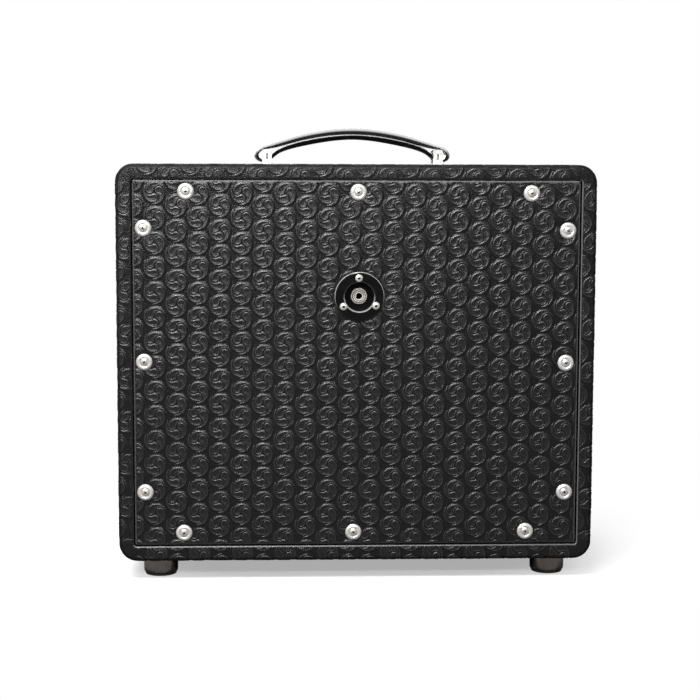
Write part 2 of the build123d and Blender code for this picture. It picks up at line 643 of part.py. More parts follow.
# Corrugated paper edge between the cone and the flange.
EDGE_BACK, EDGE_FRONT = FLANGE_Y - 0.6, FLANGE_Y - 1.6
save("cone_edge", turned_along_y(band(
    [(134.1, EDGE_BACK), (135.2, EDGE_FRONT), (136.4, EDGE_BACK), (137.6, EDGE_FRONT),
     (138.8, EDGE_BACK), (145.0, EDGE_BACK)], 0.6)))

# Corrugated centring disc.
SPIDER_Y = -46.4
SPIDER_PITCH = 2.5      # radial step from crest to trough
corrugations = [(25.0 + SPIDER_PITCH * (i + 1), SPIDER_Y + (1.7 if i % 2 == 0 else -0.2))
                for i in range(10)]
save("spider", turned_along_y(band(
    [(22.3, SPIDER_Y), (25.0, SPIDER_Y)] + corrugations + [(51.6, -45.75), (64.0, -45.75)], 0.5)))

TAG_X = 11.0            # connection tags either side of the middle
TAG_Y = -34.0
STRIP_Y = -35.2
STUD_Z = MID_Z + 68     # studs that hold the tags
with BuildPart() as terminal_strip:
    with Locations((0, STRIP_Y, MID_Z + 72)):
        Box(34, 1.6, 20)
    with Locations(*[pointing_front(side * TAG_X, STRIP_Y, STUD_Z) for side in (-1, 1)]):
        Cylinder(1.1, 6, mode=Mode.SUBTRACT)
save("terminal_strip", terminal_strip.part)

with BuildPart() as speaker_terminals:
    for side in (-1, 1):
        with Locations((side * TAG_X, TAG_Y, MID_Z + 77)):
            Box(6.3, 0.8, 24)
        with Locations(pointing_front(side * TAG_X, -35.4, STUD_Z)):
            Cylinder(1.05, 2.8)
save("speaker_terminals", speaker_terminals.part)

# Push-on sleeves over the tags, each with a round barrel on top.
with BuildPart() as spade_terminals:
    for side in (-1, 1):
        with Locations((side * TAG_X, TAG_Y, MID_Z + 88.1)):
            Box(8.0, 2.6, 11)
            Box(6.36, 0.86, 12, mode=Mode.SUBTRACT)
        with Locations((side * TAG_X, TAG_Y, MID_Z + 96.2)):
            Cylinder(1.9, 5.2)
save("spade_terminals", spade_terminals.part)

# Flexible leads from the tags to the cone.
with BuildPart() as tinsel_leads:
    for side in (-1, 1):
        lead_start = (side * TAG_X, -37.6, STUD_Z)
        with BuildLine() as lead:
            Spline(lead_start, (side * 10.5, -46, MID_Z + 84), (side * 10, -62, MID_Z + 96),
                   (side * 10, -72.4, MID_Z + 90), tangents=[(0, -1, 0.6), (0, -0.4, -1)])
        with BuildSketch(Plane(origin=lead_start, z_dir=(0, -1, 0.6))) as lead_section:
            Circle(0.7)
        sweep(sections=lead_section.sketch, path=lead.line)
save("tinsel_leads", tinsel_leads.part)

# Machine screw, seat of its head at 0; the outline is (radius, z).
BOLT_WASHER_T = 1.0
BOLT_WASHER_Y = FLANGE_Y + SHEET
machine_screw = cross_screw(
    [(0, 3.0), (2.4, 2.9), (3.7, 2.1), (4.05, 1.0), (4.05, 0),
     (2.5, 0), (2.5, -18.2), (2.1, -18.8), (0, -18.8)],
    recess_z=2.6, length=5.2, width=1.0, depth=2.6)
save_copies("speaker_screws", machine_screw,
            [pointing_rear(x, BOLT_WASHER_Y + BOLT_WASHER_T, z) for x, z in BOLT_AT])
save_rings("speaker_washers", BOLT_AT, [(facing_rear(BOLT_WASHER_Y), 4.0, 2.6, BOLT_WASHER_T)])


# ================================================================ wiring and damping
def save_wire(name, side, start_drop, *middle_points):
    """Wire from a jack lug (-1 is the -X one) to the speaker terminal on the same side."""
    start = (JACK_X + side * LUG_HOLE_X, STACK_MID, ARM_Z - start_drop)
    with BuildPart() as wire:
        with BuildLine() as run:
            Spline(start, (JACK_X + side * 14, STACK_MID - 14, ARM_Z + 26), *middle_points,
                   (side * TAG_X, TAG_Y, MID_Z + 98.9), tangents=[(0, 0, 1), (0, 0, -1)])
        with BuildSketch(Plane(origin=start, z_dir=(0, 0, 1))) as section:
            Circle(1.25)
        sweep(sections=section.sketch, path=run.line)
    save(name, wire.part)


save_wire("wire_red", -1, 0.3, (-30, 45, ARM_Z + 44), (-22, -4, ARM_Z + 40))
save_wire("wire_black", 1, 2.3, (26, 45, ARM_Z + 46), (20, -4, ARM_Z + 40))

# Soft block lying on the bottom board.
with BuildPart() as damping_pad:
    with Locations((0, 8, INNER_BOTTOM + 12.6)):
        Box(400, 150, 25)
    fillet(damping_pad.edges().filter_by(Axis.Z), 12)
save("damping_pad", damping_pad.part)

# ================================================================ handle
# Half outlines, (x, height over the body). The tops run from the crown to the end and the
# undersides from the end to the crown. The upper layer curls round the bracket bar.
UPPER_TOP = [
    (0, 36.7), (17, 36.05), (34, 33.95), (55, 29.8), (72, 25.0), (84, 21.1), (91, 19.5),
    (97.5, 18.2), (102, 14.9), (104.2, 10.2), (102.6, 5.6), (98.2, 2.6), (92.5, 1.5), (87.2, 1.7),
]
UPPER_UNDER = [
    (87.2, 4.2), (91.5, 4.0), (96.4, 4.9), (99.8, 7.4), (100.9, 10.4), (99.4, 13.2), (96.0, 15.2),
    (90.0, 16.0), (82.0, 16.6), (72, 18.7), (55, 23.3), (34, 27.55), (17, 29.55), (0, 30.3),
]
LOWER_TOP = [(0, 30.1), (17, 29.35), (34, 27.3), (55, 22.9), (66, 19.1), (74, 14.7),
             (81, 9.6), (86.3, 5.4)]
LOWER_UNDER = [(86.2, 1.9), (83.4, 3.6), (76, 8.8), (66, 13.9), (55, 17.4), (34, 21.6),
               (17, 23.9), (0, 24.9)]
SLOT_TOP = [(0, 27.65), (17, 26.9), (34, 24.8), (55, 20.65)]
SLOT_UNDER = [(55, 19.55), (34, 23.7), (17, 25.8), (0, 26.55)]
STEEL_TOP = [(0, 27.55), (17, 26.8), (34, 24.7), (54.8, 20.59)]
STEEL_UNDER = [(54.8, 19.69), (34, 23.8), (17, 25.9), (0, 26.65)]
STRAP_W = 26.0


def arched_strip(top_half, under_half, width):
    """Symmetric arch, centred on y = 0, from the half outlines of its top and underside."""
    top = [(-x, z) for x, z in top_half[:0:-1]] + top_half
    under = under_half + [(-x, z) for x, z in under_half[-2::-1]]
    top = [(x, TOP + z) for x, z in top]
    under = [(x, TOP + z) for x, z in under]
    with BuildPart() as strip:
        with BuildSketch(facing_rear(-width / 2)):
            with BuildLine():
                Spline(*top)
                Line(top[-1], under[0])
                Spline(*under)
                Line(under[-1], top[0])
            make_face()
        extrude(amount=width)
    return strip.part


save("handle_grip", arched_strip(UPPER_TOP, UPPER_UNDER, STRAP_W))

# The lower strap has a slot for the hidden spring steel band.
lower_strap_body = arched_strip(LOWER_TOP, LOWER_UNDER, STRAP_W - 2)
steel_slot = arched_strip(SLOT_TOP, SLOT_UNDER, 16.2)
with BuildPart() as handle_lower_strap:
    add(lower_strap_body)
    add(steel_slot, mode=Mode.SUBTRACT)
save("handle_lower_strap", handle_lower_strap.part)
save("handle_steel_band", arched_strip(STEEL_TOP, STEEL_UNDER, 16.0))

# Plated saddles: foot plate, two cheeks and the bar that the strap loops round.
BASE_T = 1.2
CHEEK_IN = 14.2         # inner face of a cheek from the middle
CHEEK_T = 1.8
BAR_R = 2.25
BAR_Z = 10.5            # bar centre over the body
with BuildPart() as handle_brackets:
    for x in (-HANDLE_HALF, HANDLE_HALF):
        with BuildSketch(Plane.XY.offset(TOP)):
            with Locations((x, 0)):
                RectangleRounded(12, 50, 3)
            with Locations((x, BRACKET_SCREW_Y), (x, -BRACKET_SCREW_Y)):
                Circle(HANDLE_HOLE_R, mode=Mode.SUBTRACT)
        extrude(amount=BASE_T)
        for cheek_y in (CHEEK_IN, -CHEEK_IN - CHEEK_T):
            with BuildSketch(facing_rear(cheek_y)):
                with Locations((x, TOP + 7.6)):
                    Rectangle(10, 14.0)
                with Locations((x, TOP + 13.6)):
                    SlotOverall(10, 4.0)
            extrude(amount=CHEEK_T)
        with Locations(pointing_front(x, 0, TOP + BAR_Z)):
            Cylinder(BAR_R, 2 * CHEEK_IN + 2)
        # narrow upright groove in the outer face of each cheek
        for side in (-1, 1):
            with BuildSketch(facing_rear(side * (CHEEK_IN + CHEEK_T))):
                with Locations((x, TOP + BAR_Z - 2.4)):
                    Rectangle(1.3, 6.4)
            extrude(amount=-side * 0.9, mode=Mode.SUBTRACT)
save("handle_brackets", handle_brackets.part)

# Handle screw, seat of its head at 0; the outline is (radius, z).
handle_screw = cross_screw(
    [(0, 1.9), (1.8, 1.7), (3.2, 0.9), (3.4, 0), (2.0, 0), (2.0, -19.4), (0, -19.4)],
    recess_z=1.5, length=3.6, width=0.8, depth=1.8)
save_copies("handle_screws", handle_screw, [Location((x, y, TOP + BASE_T)) for x, y in HANDLE_AT])

# Washers and hexagon nuts under the top board.
NUT_WASHER_T = 0.8
HANDLE_NUT_T = 3.0
NUT_BORE_R = 2.05
with BuildPart() as handle_nuts:
    with BuildSketch(Plane.XY.offset(INNER_TOP - NUT_WASHER_T)):
        with Locations(*HANDLE_AT):
            Circle(5.0)
            Circle(NUT_BORE_R, mode=Mode.SUBTRACT)
    extrude(amount=NUT_WASHER_T)
    with BuildSketch(Plane.XY.offset(INNER_TOP - NUT_WASHER_T - HANDLE_NUT_T)):
        with Locations(*HANDLE_AT):
            RegularPolygon(3.5, 6, major_radius=False)
            Circle(NUT_BORE_R, mode=Mode.SUBTRACT)
    extrude(amount=HANDLE_NUT_T)
save("handle_nuts", handle_nuts.part)

# ================================================================ feet
# Outlines are (radius, z).
FOOT_R = 17.5
FOOT_BORE_R = 2.5       # hole through the cup and the washer
CUP_CEILING = 14.0      # underside of the cup's roof
PAD_RIM_T = 2.5         # rim of the pad that shows under the cup
FOOT_WASHER_T = 1.1
FOOT_WASHER_Z = CUP_CEILING - FOOT_WASHER_T
foot_cup = turned([
    (FOOT_BORE_R, CUP_CEILING), (14.8, CUP_CEILING), (14.8, PAD_RIM_T), (16.3, PAD_RIM_T),
    (17.0, 2.9), (17.25, 3.6), (FOOT_R, 19.4), (17.1, FOOT_H), (FOOT_BORE_R, FOOT_H),
])
save_copies("foot_cups", foot_cup, FOOT_AT)

save_rings("foot_pads", FOOT_AT, [
    (Plane.XY, 16.0, 6.0, PAD_RIM_T),
    (Plane.XY.offset(PAD_RIM_T), 14.6, 6.0, 6.0),
])
save_rings("foot_washers", FOOT_AT,
           [(Plane.XY.offset(FOOT_WASHER_Z), 5.6, FOOT_BORE_R, FOOT_WASHER_T)])

# Foot screw, seat of its head at 0, driven upwards.
foot_screw = cross_screw(
    [(0, 3.2), (2.6, 3.1), (4.2, 2.3), (4.7, 1.0), (4.7, 0),
     (2.4, 0), (2.4, -15.4), (0.6, -19.6), (0, -19.6)],
    recess_z=2.6, length=5.2, width=1.0, depth=2.6)
save_copies("foot_screws", foot_screw,
            [Location((x, y, FOOT_WASHER_Z), (180, 0, 0)) for x, y in FOOT_AT])
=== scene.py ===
"""A loudspeaker cabinet in embossed black vinyl, with a strap handle on top and four feet.

The feet stand on z = 0. The grille is at the front, towards -Y; the rear panel with its jack dish
faces +Y, towards the camera. Lengths are in mm up to the mesh, which is in metres. Flat layouts
(u, v) are seen from behind, so u runs right along -X and v runs up.
"""
import json
import math
from itertools import product

import bmesh
import bpy
import numpy as np
from mathutils import Matrix, Vector
from mathutils.geometry import delaunay_2d_cdt

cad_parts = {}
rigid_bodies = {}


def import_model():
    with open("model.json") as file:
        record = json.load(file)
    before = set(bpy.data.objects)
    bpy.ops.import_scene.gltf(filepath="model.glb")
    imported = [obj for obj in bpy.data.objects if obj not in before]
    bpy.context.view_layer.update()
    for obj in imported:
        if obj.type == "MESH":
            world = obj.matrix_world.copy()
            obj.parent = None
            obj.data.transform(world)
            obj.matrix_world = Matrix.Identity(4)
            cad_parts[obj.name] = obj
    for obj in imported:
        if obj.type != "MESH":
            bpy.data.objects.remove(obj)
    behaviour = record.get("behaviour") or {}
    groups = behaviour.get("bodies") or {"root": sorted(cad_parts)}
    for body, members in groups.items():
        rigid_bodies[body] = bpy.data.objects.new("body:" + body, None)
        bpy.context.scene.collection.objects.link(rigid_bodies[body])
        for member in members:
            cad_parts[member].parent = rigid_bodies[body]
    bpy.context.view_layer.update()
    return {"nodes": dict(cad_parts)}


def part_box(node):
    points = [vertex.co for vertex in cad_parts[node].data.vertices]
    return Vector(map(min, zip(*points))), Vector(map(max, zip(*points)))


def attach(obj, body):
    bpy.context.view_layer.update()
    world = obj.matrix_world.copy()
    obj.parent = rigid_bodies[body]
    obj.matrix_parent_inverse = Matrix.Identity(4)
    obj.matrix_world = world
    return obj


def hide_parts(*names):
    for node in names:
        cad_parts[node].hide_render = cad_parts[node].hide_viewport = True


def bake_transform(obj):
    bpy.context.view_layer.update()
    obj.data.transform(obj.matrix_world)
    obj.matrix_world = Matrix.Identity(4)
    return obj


for old in list(bpy.data.objects):
    bpy.data.objects.remove(old)
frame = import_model()
MM = 0.001
scene = bpy.context.scene


# ---------------------------------------------------------------- sizes read from the CAD frame
def box(node):
    """Size, centre, low corner and high corner of a CAD node, in mm."""
    low, high = (np.array(corner, float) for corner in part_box(node))
    return (high - low) / MM, (low + high) / 2 / MM, low / MM, high / MM


def coordinates(mesh):
    """Vertex positions of a mesh, in mm."""
    flat = np.zeros(len(mesh.vertices) * 3, np.float32)
    mesh.vertices.foreach_get("co", flat)
    return flat.reshape(-1, 3).astype(float) / MM


def solid_centres(node):
    """Box centres of the separate solids of a CAD node, in mm."""
    mesh = frame["nodes"][node].data
    points = coordinates(mesh)
    cells = np.round(points * 200).astype(np.int64)
    key = np.unique(cells, axis=0, return_inverse=True)[1].ravel()
    edges = np.zeros(len(mesh.edges) * 2, np.int32)
    mesh.edges.foreach_get("vertices", edges)
    edges = key[edges.reshape(-1, 2)]
    # every vertex takes the lowest label it is joined to, until nothing changes
    label = np.arange(key.max() + 1)
    while True:
        lowest = np.minimum(label[edges[:, 0]], label[edges[:, 1]])
        new = label.copy()
        np.minimum.at(new, edges[:, 0], lowest)
        np.minimum.at(new, edges[:, 1], lowest)
        new = new[new]
        if (new == label).all():
            break
        label = new
    root = label[key]
    solids = [points[root == number] for number in np.unique(root)]
    return [(solid.min(0) + solid.max(0)) / 2 for solid in solids]


body_size, _, body_low, body_high = box("cabinet_covering")
BODY_W, BODY_D, BODY_H = body_size
FOOT_H = body_low[2]
MID_Z = FOOT_H + BODY_H / 2
TOP = FOOT_H + BODY_H
REAR = body_high[1]
CORNER_R, RIM_R, LIP_R = 18.0, 4.0, 1.5     # seen from behind, outer rim, edge of the opening
BOARD_GAP, SKIN = 0.6, 0.8
WALL = (BODY_W - box("baffle_board")[0][0] - BOARD_GAP) / 2 + SKIN

panel_size, panel_centre, _, panel_high = box("rear_panel_covering")
PANEL_W, PANEL_H = panel_size[0], panel_size[2]
PANEL_Z, PANEL_FACE = panel_centre[2], panel_high[1]
PANEL_EDGE = 1.5
PANEL_WRAP = 11.6

dish_size, dish_centre, _, dish_high = box("jack_dish")
JACK = (dish_centre[0], dish_centre[2])
DISH_FACE = dish_high[1]
DISH_R = dish_size[0] / 2
DISH_LIP = 15.1

CUPS = solid_centres("rear_panel_cup_washers")
DISH_SCREWS = solid_centres("jack_dish_screws")


# ---------------------------------------------------------------- objects and triangle meshes
def smoothstep(low, high, x):
    t = np.clip((x - low) / (high - low), 0, 1)
    return t * t * (3 - 2 * t)


def new_mesh(name, verts, faces, smooth=True):
    """An object from vertices in mm and a list of faces or an (n, 3 or 4) array."""
    mesh = bpy.data.meshes.new(name)
    verts = np.asarray(verts, np.float32) * MM
    if isinstance(faces, np.ndarray):
        count, corners = faces.shape
        mesh.vertices.add(len(verts))
        mesh.vertices.foreach_set("co", verts.ravel())
        mesh.loops.add(faces.size)
        mesh.loops.foreach_set("vertex_index", faces.astype(np.int32).ravel())
        mesh.polygons.add(count)
        starts = np.arange(0, faces.size, corners, dtype=np.int32)
        mesh.polygons.foreach_set("loop_start", starts)
        mesh.polygons.foreach_set("loop_total", np.full(count, corners, np.int32))
        mesh.update(calc_edges=True)
        mesh.validate()
    else:
        mesh.from_pydata([tuple(vert) for vert in verts], [], faces)
        mesh.update()
    if smooth:
        shade_smooth(mesh)
    ob = bpy.data.objects.new(name, mesh)
    scene.collection.objects.link(ob)
    return ob


def shade_smooth(mesh):
    mesh.polygons.foreach_set("use_smooth", np.ones(len(mesh.polygons), bool))


def attribute(ob, name, values):
    layer = ob.data.attributes.new(name, "FLOAT", "POINT")
    layer.data.foreach_set("value", np.asarray(values, np.float32))


def bevel(ob, name, width, segments, angle):
    """Bevels, by a width in mm, the edges that turn by more than the angle in degrees."""
    modifier = ob.modifiers.new(name, "BEVEL")
    modifier.width = width * MM
    modifier.segments = segments
    modifier.limit_method = "ANGLE"
    modifier.angle_limit = math.radians(angle)


def tidy(verts, tris):
    """Drops the vertices no triangle uses."""
    used, inverse = np.unique(tris, return_inverse=True)
    return verts[used], inverse.reshape(-1, 3)


def split(verts, tris, normal, offset):
    """Cuts triangles along the line verts[:, :2] @ normal = offset and keeps both sides."""
    side = verts[:, :2] @ np.asarray(normal, float) - offset
    side[np.abs(side) < 1e-6] = 0
    signs = np.sign(side).astype(int)[tris]
    total, touched = signs.sum(1), np.abs(signs).sum(1)
    lone = (touched == 3) & (np.abs(total) == 1)         # one corner across the line
    through = (touched == 2) & (total == 0)              # one corner on it, one on each side

    def turned(chosen, leads):
        """The chosen triangles, turned so that the marked corner comes first."""
        order = (np.arange(3)[None] + np.argmax(leads, axis=1)[:, None]) % 3
        return np.take_along_axis(tris[chosen], order, 1)

    one = turned(lone, signs[lone] == -np.sign(total[lone])[:, None])
    two = turned(through, signs[through] == 0)
    crossed = np.sort(np.concatenate([one[:, [0, 1]], one[:, [0, 2]], two[:, [1, 2]]]), 1)
    if not len(crossed):
        return verts, tris
    edges, inverse = np.unique(crossed, axis=0, return_inverse=True)
    inverse = inverse.ravel() + len(verts)
    start, end = edges[:, 0], edges[:, 1]
    along = side[start] / (side[start] - side[end])
    verts = np.concatenate([verts, verts[start] + (verts[end] - verts[start]) * along[:, None]])
    count = len(one)
    p, q, middle = inverse[:count], inverse[count:2 * count], inverse[2 * count:]
    corners = ((one[:, 0], p, q), (p, one[:, 1], one[:, 2]), (p, one[:, 2], q),
               (two[:, 0], two[:, 1], middle), (two[:, 0], middle, two[:, 2]))
    whole = tris[~(lone | through)]
    return verts, np.concatenate([whole] + [np.stack(three, 1) for three in corners])


def clip(verts, tris, normal, offset):
    """Keeps the part of a triangle mesh where verts[:, :2] @ normal <= offset."""
    verts, tris = split(verts, tris, normal, offset)
    centre = verts[tris][:, :, :2].mean(1) @ np.asarray(normal, float)
    return tidy(verts, tris[centre <= offset])


def border(tris):
    """Directed border edges of a triangle mesh, in the sense of its triangles."""
    edges = np.concatenate([tris[:, [0, 1]], tris[:, [1, 2]], tris[:, [2, 0]]])
    _, inverse, uses = np.unique(np.sort(edges, 1), axis=0,
                                 return_inverse=True, return_counts=True)
    return edges[uses[inverse.ravel()] == 1]


def proper(tris):
    """Drops triangles that use a vertex twice."""
    a, b, c = tris.T
    return tris[(a != b) & (b != c) & (a != c)]


def vertex_normals(points, tris):
    a, b, c = (points[tris[:, i]] for i in range(3))
    facing = np.cross(b - a, c - a)
    out = np.zeros_like(points)
    for i in range(3):
        np.add.at(out, tris[:, i], facing)
    length = np.linalg.norm(out, axis=1)
    return out / np.maximum(length, 1e-12)[:, None]


def weld(verts, tris, cell=0.02):
    """Joins vertices that lie together, whichever side of a rounding step they fall on."""
    label = np.arange(len(verts))
    groups = []
    for shift in ((0, 0), (0.5, 0), (0, 0.5), (0.5, 0.5)):
        square = np.floor(verts[:, :2] / cell + shift).astype(np.int64)
        number = square[:, 0] * 4000003 + square[:, 1]
        groups.append(np.unique(number, return_inverse=True)[1].ravel())
    while True:
        before = label.copy()
        for group in groups:
            lowest = np.full(group.max() + 1, len(verts))
            np.minimum.at(lowest, group, label)
            label = lowest[group]
        if (label == before).all():
            break
    return tidy(verts, proper(label[tris]))


def rotate(points, degrees):
    c, s = math.cos(math.radians(degrees)), math.sin(math.radians(degrees))
    return points @ np.array([[c, s], [-s, c]])


def circle(radius, count):
    angle = np.linspace(0, 2 * math.pi, count, endpoint=False)
    return radius * np.stack([np.cos(angle), np.sin(angle)], 1)


class Plan:
    """Closed loops and points with heights, triangulated in the plane."""

    def __init__(self):
        self.points, self.heights, self.edges = [], [], []

    def loop(self, points, height):
        first, count = len(self.points), len(points)
        self.points.extend(map(tuple, points))
        self.heights.extend(np.broadcast_to(height, count))
        self.edges.extend((first + i, first + (i + 1) % count) for i in range(count))
        return range(first, first + count)

    def point(self, point, height):
        self.points.append(tuple(point))
        self.heights.append(height)

    def fill(self, tolerance):
        """Vertices (x, y, height), faces, and the given points behind each vertex."""
        flat = [Vector(point) for point in self.points]
        verts, _, faces, sources, *_ = delaunay_2d_cdt(flat, self.edges, [], 0, tolerance)
        heights = [max((self.heights[i] for i in given), default=0.0) for given in sources]
        return [(v.x, v.y, h) for v, h in zip(verts, heights)], faces, sources


# ---------------------------------------------------------------- the embossed swirl
# Three commas turn about the middle of every cell of a hexagonal lattice.
LATTICE = np.array([[0.13, 24.87], [21.70, 12.28]])
NEIGHBOURS = [LATTICE[0], LATTICE[1], LATTICE[1] - LATTICE[0],
              -LATTICE[0], -LATTICE[1], LATTICE[0] - LATTICE[1]]
CELL_REACH = 15
RELIEF = 0.46
HEAD_ANGLE, SWEEP = 146, 152
# place along the comma, half width
COMMA_WIDTH = ([0, 0.12, 0.3, 0.42, 0.5, 0.6, 0.7, 0.8, 1.0],
               [4.25, 4.0, 3.0, 2.2, 1.72, 1.2, 0.86, 0.62, 0.14])
# place along the comma, radius of its outer side
COMMA_OUTER = ([0, 0.2, 0.45, 0.6, 0.7, 0.8, 1.0],
               [9.6, 10.35, 10.95, 11.3, 11.58, 11.85, 12.7])
# inset, points on the outer side, on the inner side and round the head, height
COMMA_LEVELS = ((0.0, 14, 9, 7, 0.0), (0.5, 13, 8, 6, 1.0),
                (1.05, 9, 6, 6, 0.93), (1.55, 7, 4, 5, 0.5))
EYE_R, EYE_EDGE, EYE_FLOOR = 1.35, 0.5, 0.16             # dimple in the comma's head


def swirl_spine(t):
    """Radius, angle and half width of a comma, from its head at 0 to its tail at 1."""
    angle = math.radians(HEAD_ANGLE) - t * math.radians(SWEEP)
    half = np.interp(t, *COMMA_WIDTH)
    return np.interp(t, *COMMA_OUTER) - half, angle, half


def swirl_outline(inset, outer_points, inner_points, cap_points):
    """Closed outline of one comma, pulled in; the tail ends where it is thinner than that."""
    radius, angle, half = swirl_spine(np.linspace(0, 1, 400))
    spine = np.stack([radius * np.cos(angle), radius * np.sin(angle)], 1)
    ahead = np.gradient(spine, axis=0)
    ahead /= np.linalg.norm(ahead, axis=1)[:, None]
    outward_side = np.stack([-ahead[:, 1], ahead[:, 0]], 1)     # the spine runs clockwise
    thick = half - inset > 0.08
    last = len(thick) if thick.all() else int(np.argmin(thick))
    spine, across, ahead = spine[:last], outward_side[:last], ahead[:last]
    half = half[:last] - inset

    def pick(count):
        return np.unique(np.round(np.linspace(0, last - 1, count)).astype(int))

    outer = (spine + across * half[:, None])[pick(outer_points)]
    inner = (spine - across * half[:, None])[pick(inner_points)][::-1]
    cap = np.stack([spine[0] + half[0] * (-across[0] * math.cos(a) - ahead[0] * math.sin(a))
                    for a in np.linspace(0, math.pi, cap_points + 2)[1:-1]])
    tip = (spine[-1] + ahead[-1] * max(0.25, half[-1]))[None]
    return np.concatenate([outer[:-1], tip, inner[1:], cap])


def make_tile(side_steps=4):
    """Triangle mesh of one hexagonal cell of the emboss: (x, y, height 0..1)."""
    corners = []
    for i in range(6):
        p, q = NEIGHBOURS[i], NEIGHBOURS[(i + 1) % 6]
        corners.append(np.linalg.solve(np.array([p, q]), np.array([p @ p, q @ q]) / 2))
    hexagon = []
    for a, b in zip(corners, corners[1:] + corners[:1]):
        hexagon += [a + (b - a) * k / side_steps for k in range(side_steps)]
    plan = Plan()
    plan.loop(hexagon, 0.0)
    radius, angle, _ = swirl_spine(0.0)
    head = np.array([radius * math.cos(angle), radius * math.sin(angle)])
    for turn in (0, -120, -240):
        for *outline, height in COMMA_LEVELS:
            plan.loop(rotate(swirl_outline(*outline), turn), height)
        plan.loop(rotate(head + circle(EYE_R, 6), turn), EYE_EDGE)
        plan.point(rotate(head[None], turn)[0], EYE_FLOOR)
    verts, faces, _ = plan.fill(1e-5)
    verts = np.array(verts)
    tris = []
    for face in faces:
        centre = verts[list(face), :2].mean(0)
        if all(centre @ near <= (near @ near) / 2 + 1e-6 for near in NEIGHBOURS):
            tris += [(face[0], face[i], face[i + 1]) for i in range(1, len(face) - 1)]
    tris = np.array(tris)
    a, b, c = (verts[tris[:, i], :2] for i in range(3))
    area = (b - a)[:, 0] * (c - a)[:, 1] - (b - a)[:, 1] * (c - a)[:, 0]
    tris[area < 0] = tris[area < 0][:, ::-1]
    # slivers lying along the straight sides of the cell hide its border points
    return verts, tris[np.abs(area) > 1e-3]


TILE_VERTS, TILE_TRIS = make_tile()


def field(x0, x1, y0, y1, origin):
    """Tiles over a rectangle, clipped to it. Columns: x, y, relief 0..1."""
    all_verts, all_tris, count = [], [], 0
    corners = np.array([[x0, y0], [x1, y0], [x0, y1], [x1, y1]]) - origin
    steps = corners @ np.linalg.inv(LATTICE.T).T
    i0, j0 = np.floor(steps.min(0)).astype(int) - 1
    i1, j1 = np.ceil(steps.max(0)).astype(int) + 1
    for i, j in product(range(i0, i1 + 1), range(j0, j1 + 1)):
        x, y = centre = origin + i * LATTICE[0] + j * LATTICE[1]
        if (x < x0 - CELL_REACH or x > x1 + CELL_REACH
                or y < y0 - CELL_REACH or y > y1 + CELL_REACH):
            continue
        verts = TILE_VERTS.copy()
        verts[:, :2] += centre
        all_verts.append(verts)
        all_tris.append(TILE_TRIS + count)
        count += len(verts)
    verts, tris = weld(np.concatenate(all_verts), np.concatenate(all_tris))
    for normal, offset in (((1, 0), x1), ((-1, 0), -x0), ((0, 1), y1), ((0, -1), -y0)):
        verts, tris = clip(verts, tris, normal, offset)
    return verts, tris


def relief_strength(x, y):
    """The press did not bite equally deep everywhere: crossed waves, as a factor."""
    waves = (np.sin(x * 0.031 + 1.3) * np.cos(y * 0.027 - 0.4)
             + 0.6 * np.sin(x * 0.083 - y * 0.041 + 2.1)
             + 0.5 * np.cos(x * 0.057 + y * 0.093 + 0.7)
             + 0.35 * np.sin(y * 0.151 - x * 0.119))
    return np.clip(0.9 + 0.13 * waves, 0.6, 1.15)


def sag(x, y):
    """Slow unevenness of the glued skin, in mm."""
    return (0.06 * np.sin(x * 0.071 + 0.8 * np.sin(y * 0.033))
            + 0.05 * np.cos(y * 0.088 + 0.9 * np.cos(x * 0.047)) - 0.06)


# ---------------------------------------------------------------- rear panel covering
# Radii round a fitting: the hole, where the relief begins and is full, and where the pressed
# dip begins; then the depth of the dip and how far it spreads.
CUP_SEAT = dict(hole=4.8, flat=8.0, full=10.4, rim=8.0, dip=0.34, spread=9.0)
DISH_SEAT = dict(hole=19.0, flat=24.6, full=27.2, rim=25.0, dip=0.2, spread=12.0)
PANEL_ORIGIN = np.array([-51.0, 183.7 + FOOT_H])
# how far out and back each ring of the edge lies, and how much painted highlight it carries
PANEL_RINGS = [(math.sin(a) * PANEL_EDGE, (math.cos(a) - 1) * PANEL_EDGE, bright)
               for a, bright in zip(np.radians([22, 45, 67, 90]), (0.8, 1.0, 1.0, 0.5))]
PANEL_RINGS += [(PANEL_EDGE, -5.0, 0.0), (PANEL_EDGE, -PANEL_WRAP, 0.0),
                (PANEL_EDGE - 0.9, -PANEL_WRAP, 0.0)]


def panel_border(x, y, on, half_u, half_v):
    """Border vertices counter-clockwise in the layout, with their outward angles."""
    u, v = x[on], y[on]
    right, top, left = (np.abs(gap) < 1e-3 for gap in (u - half_u, v - half_v, u + half_u))
    along = np.where(right, v + half_v, np.where(
        top, 2 * half_v + half_u - u, np.where(
            left, 2 * half_v + 2 * half_u + half_v - v, 4 * half_v + 2 * half_u + u + half_u)))
    out = []
    for i in on[np.argsort(along)]:
        on_side = abs(abs(x[i]) - half_u) < 1e-3
        on_end = abs(abs(y[i]) - half_v) < 1e-3
        if on_side and on_end:      # a corner vertex is repeated, fanned out over five directions
            middle = math.atan2(np.sign(y[i]), np.sign(x[i]))
            out += [(i, middle + k * math.pi / 8) for k in (-2, -1, 0, 1, 2)]
        elif on_side:
            out.append((i, 0.0 if x[i] > 0 else math.pi))
        else:
            out.append((i, math.pi / 2 if y[i] > 0 else -math.pi / 2))
    ids, angles = zip(*out)
    return np.array(ids), angles


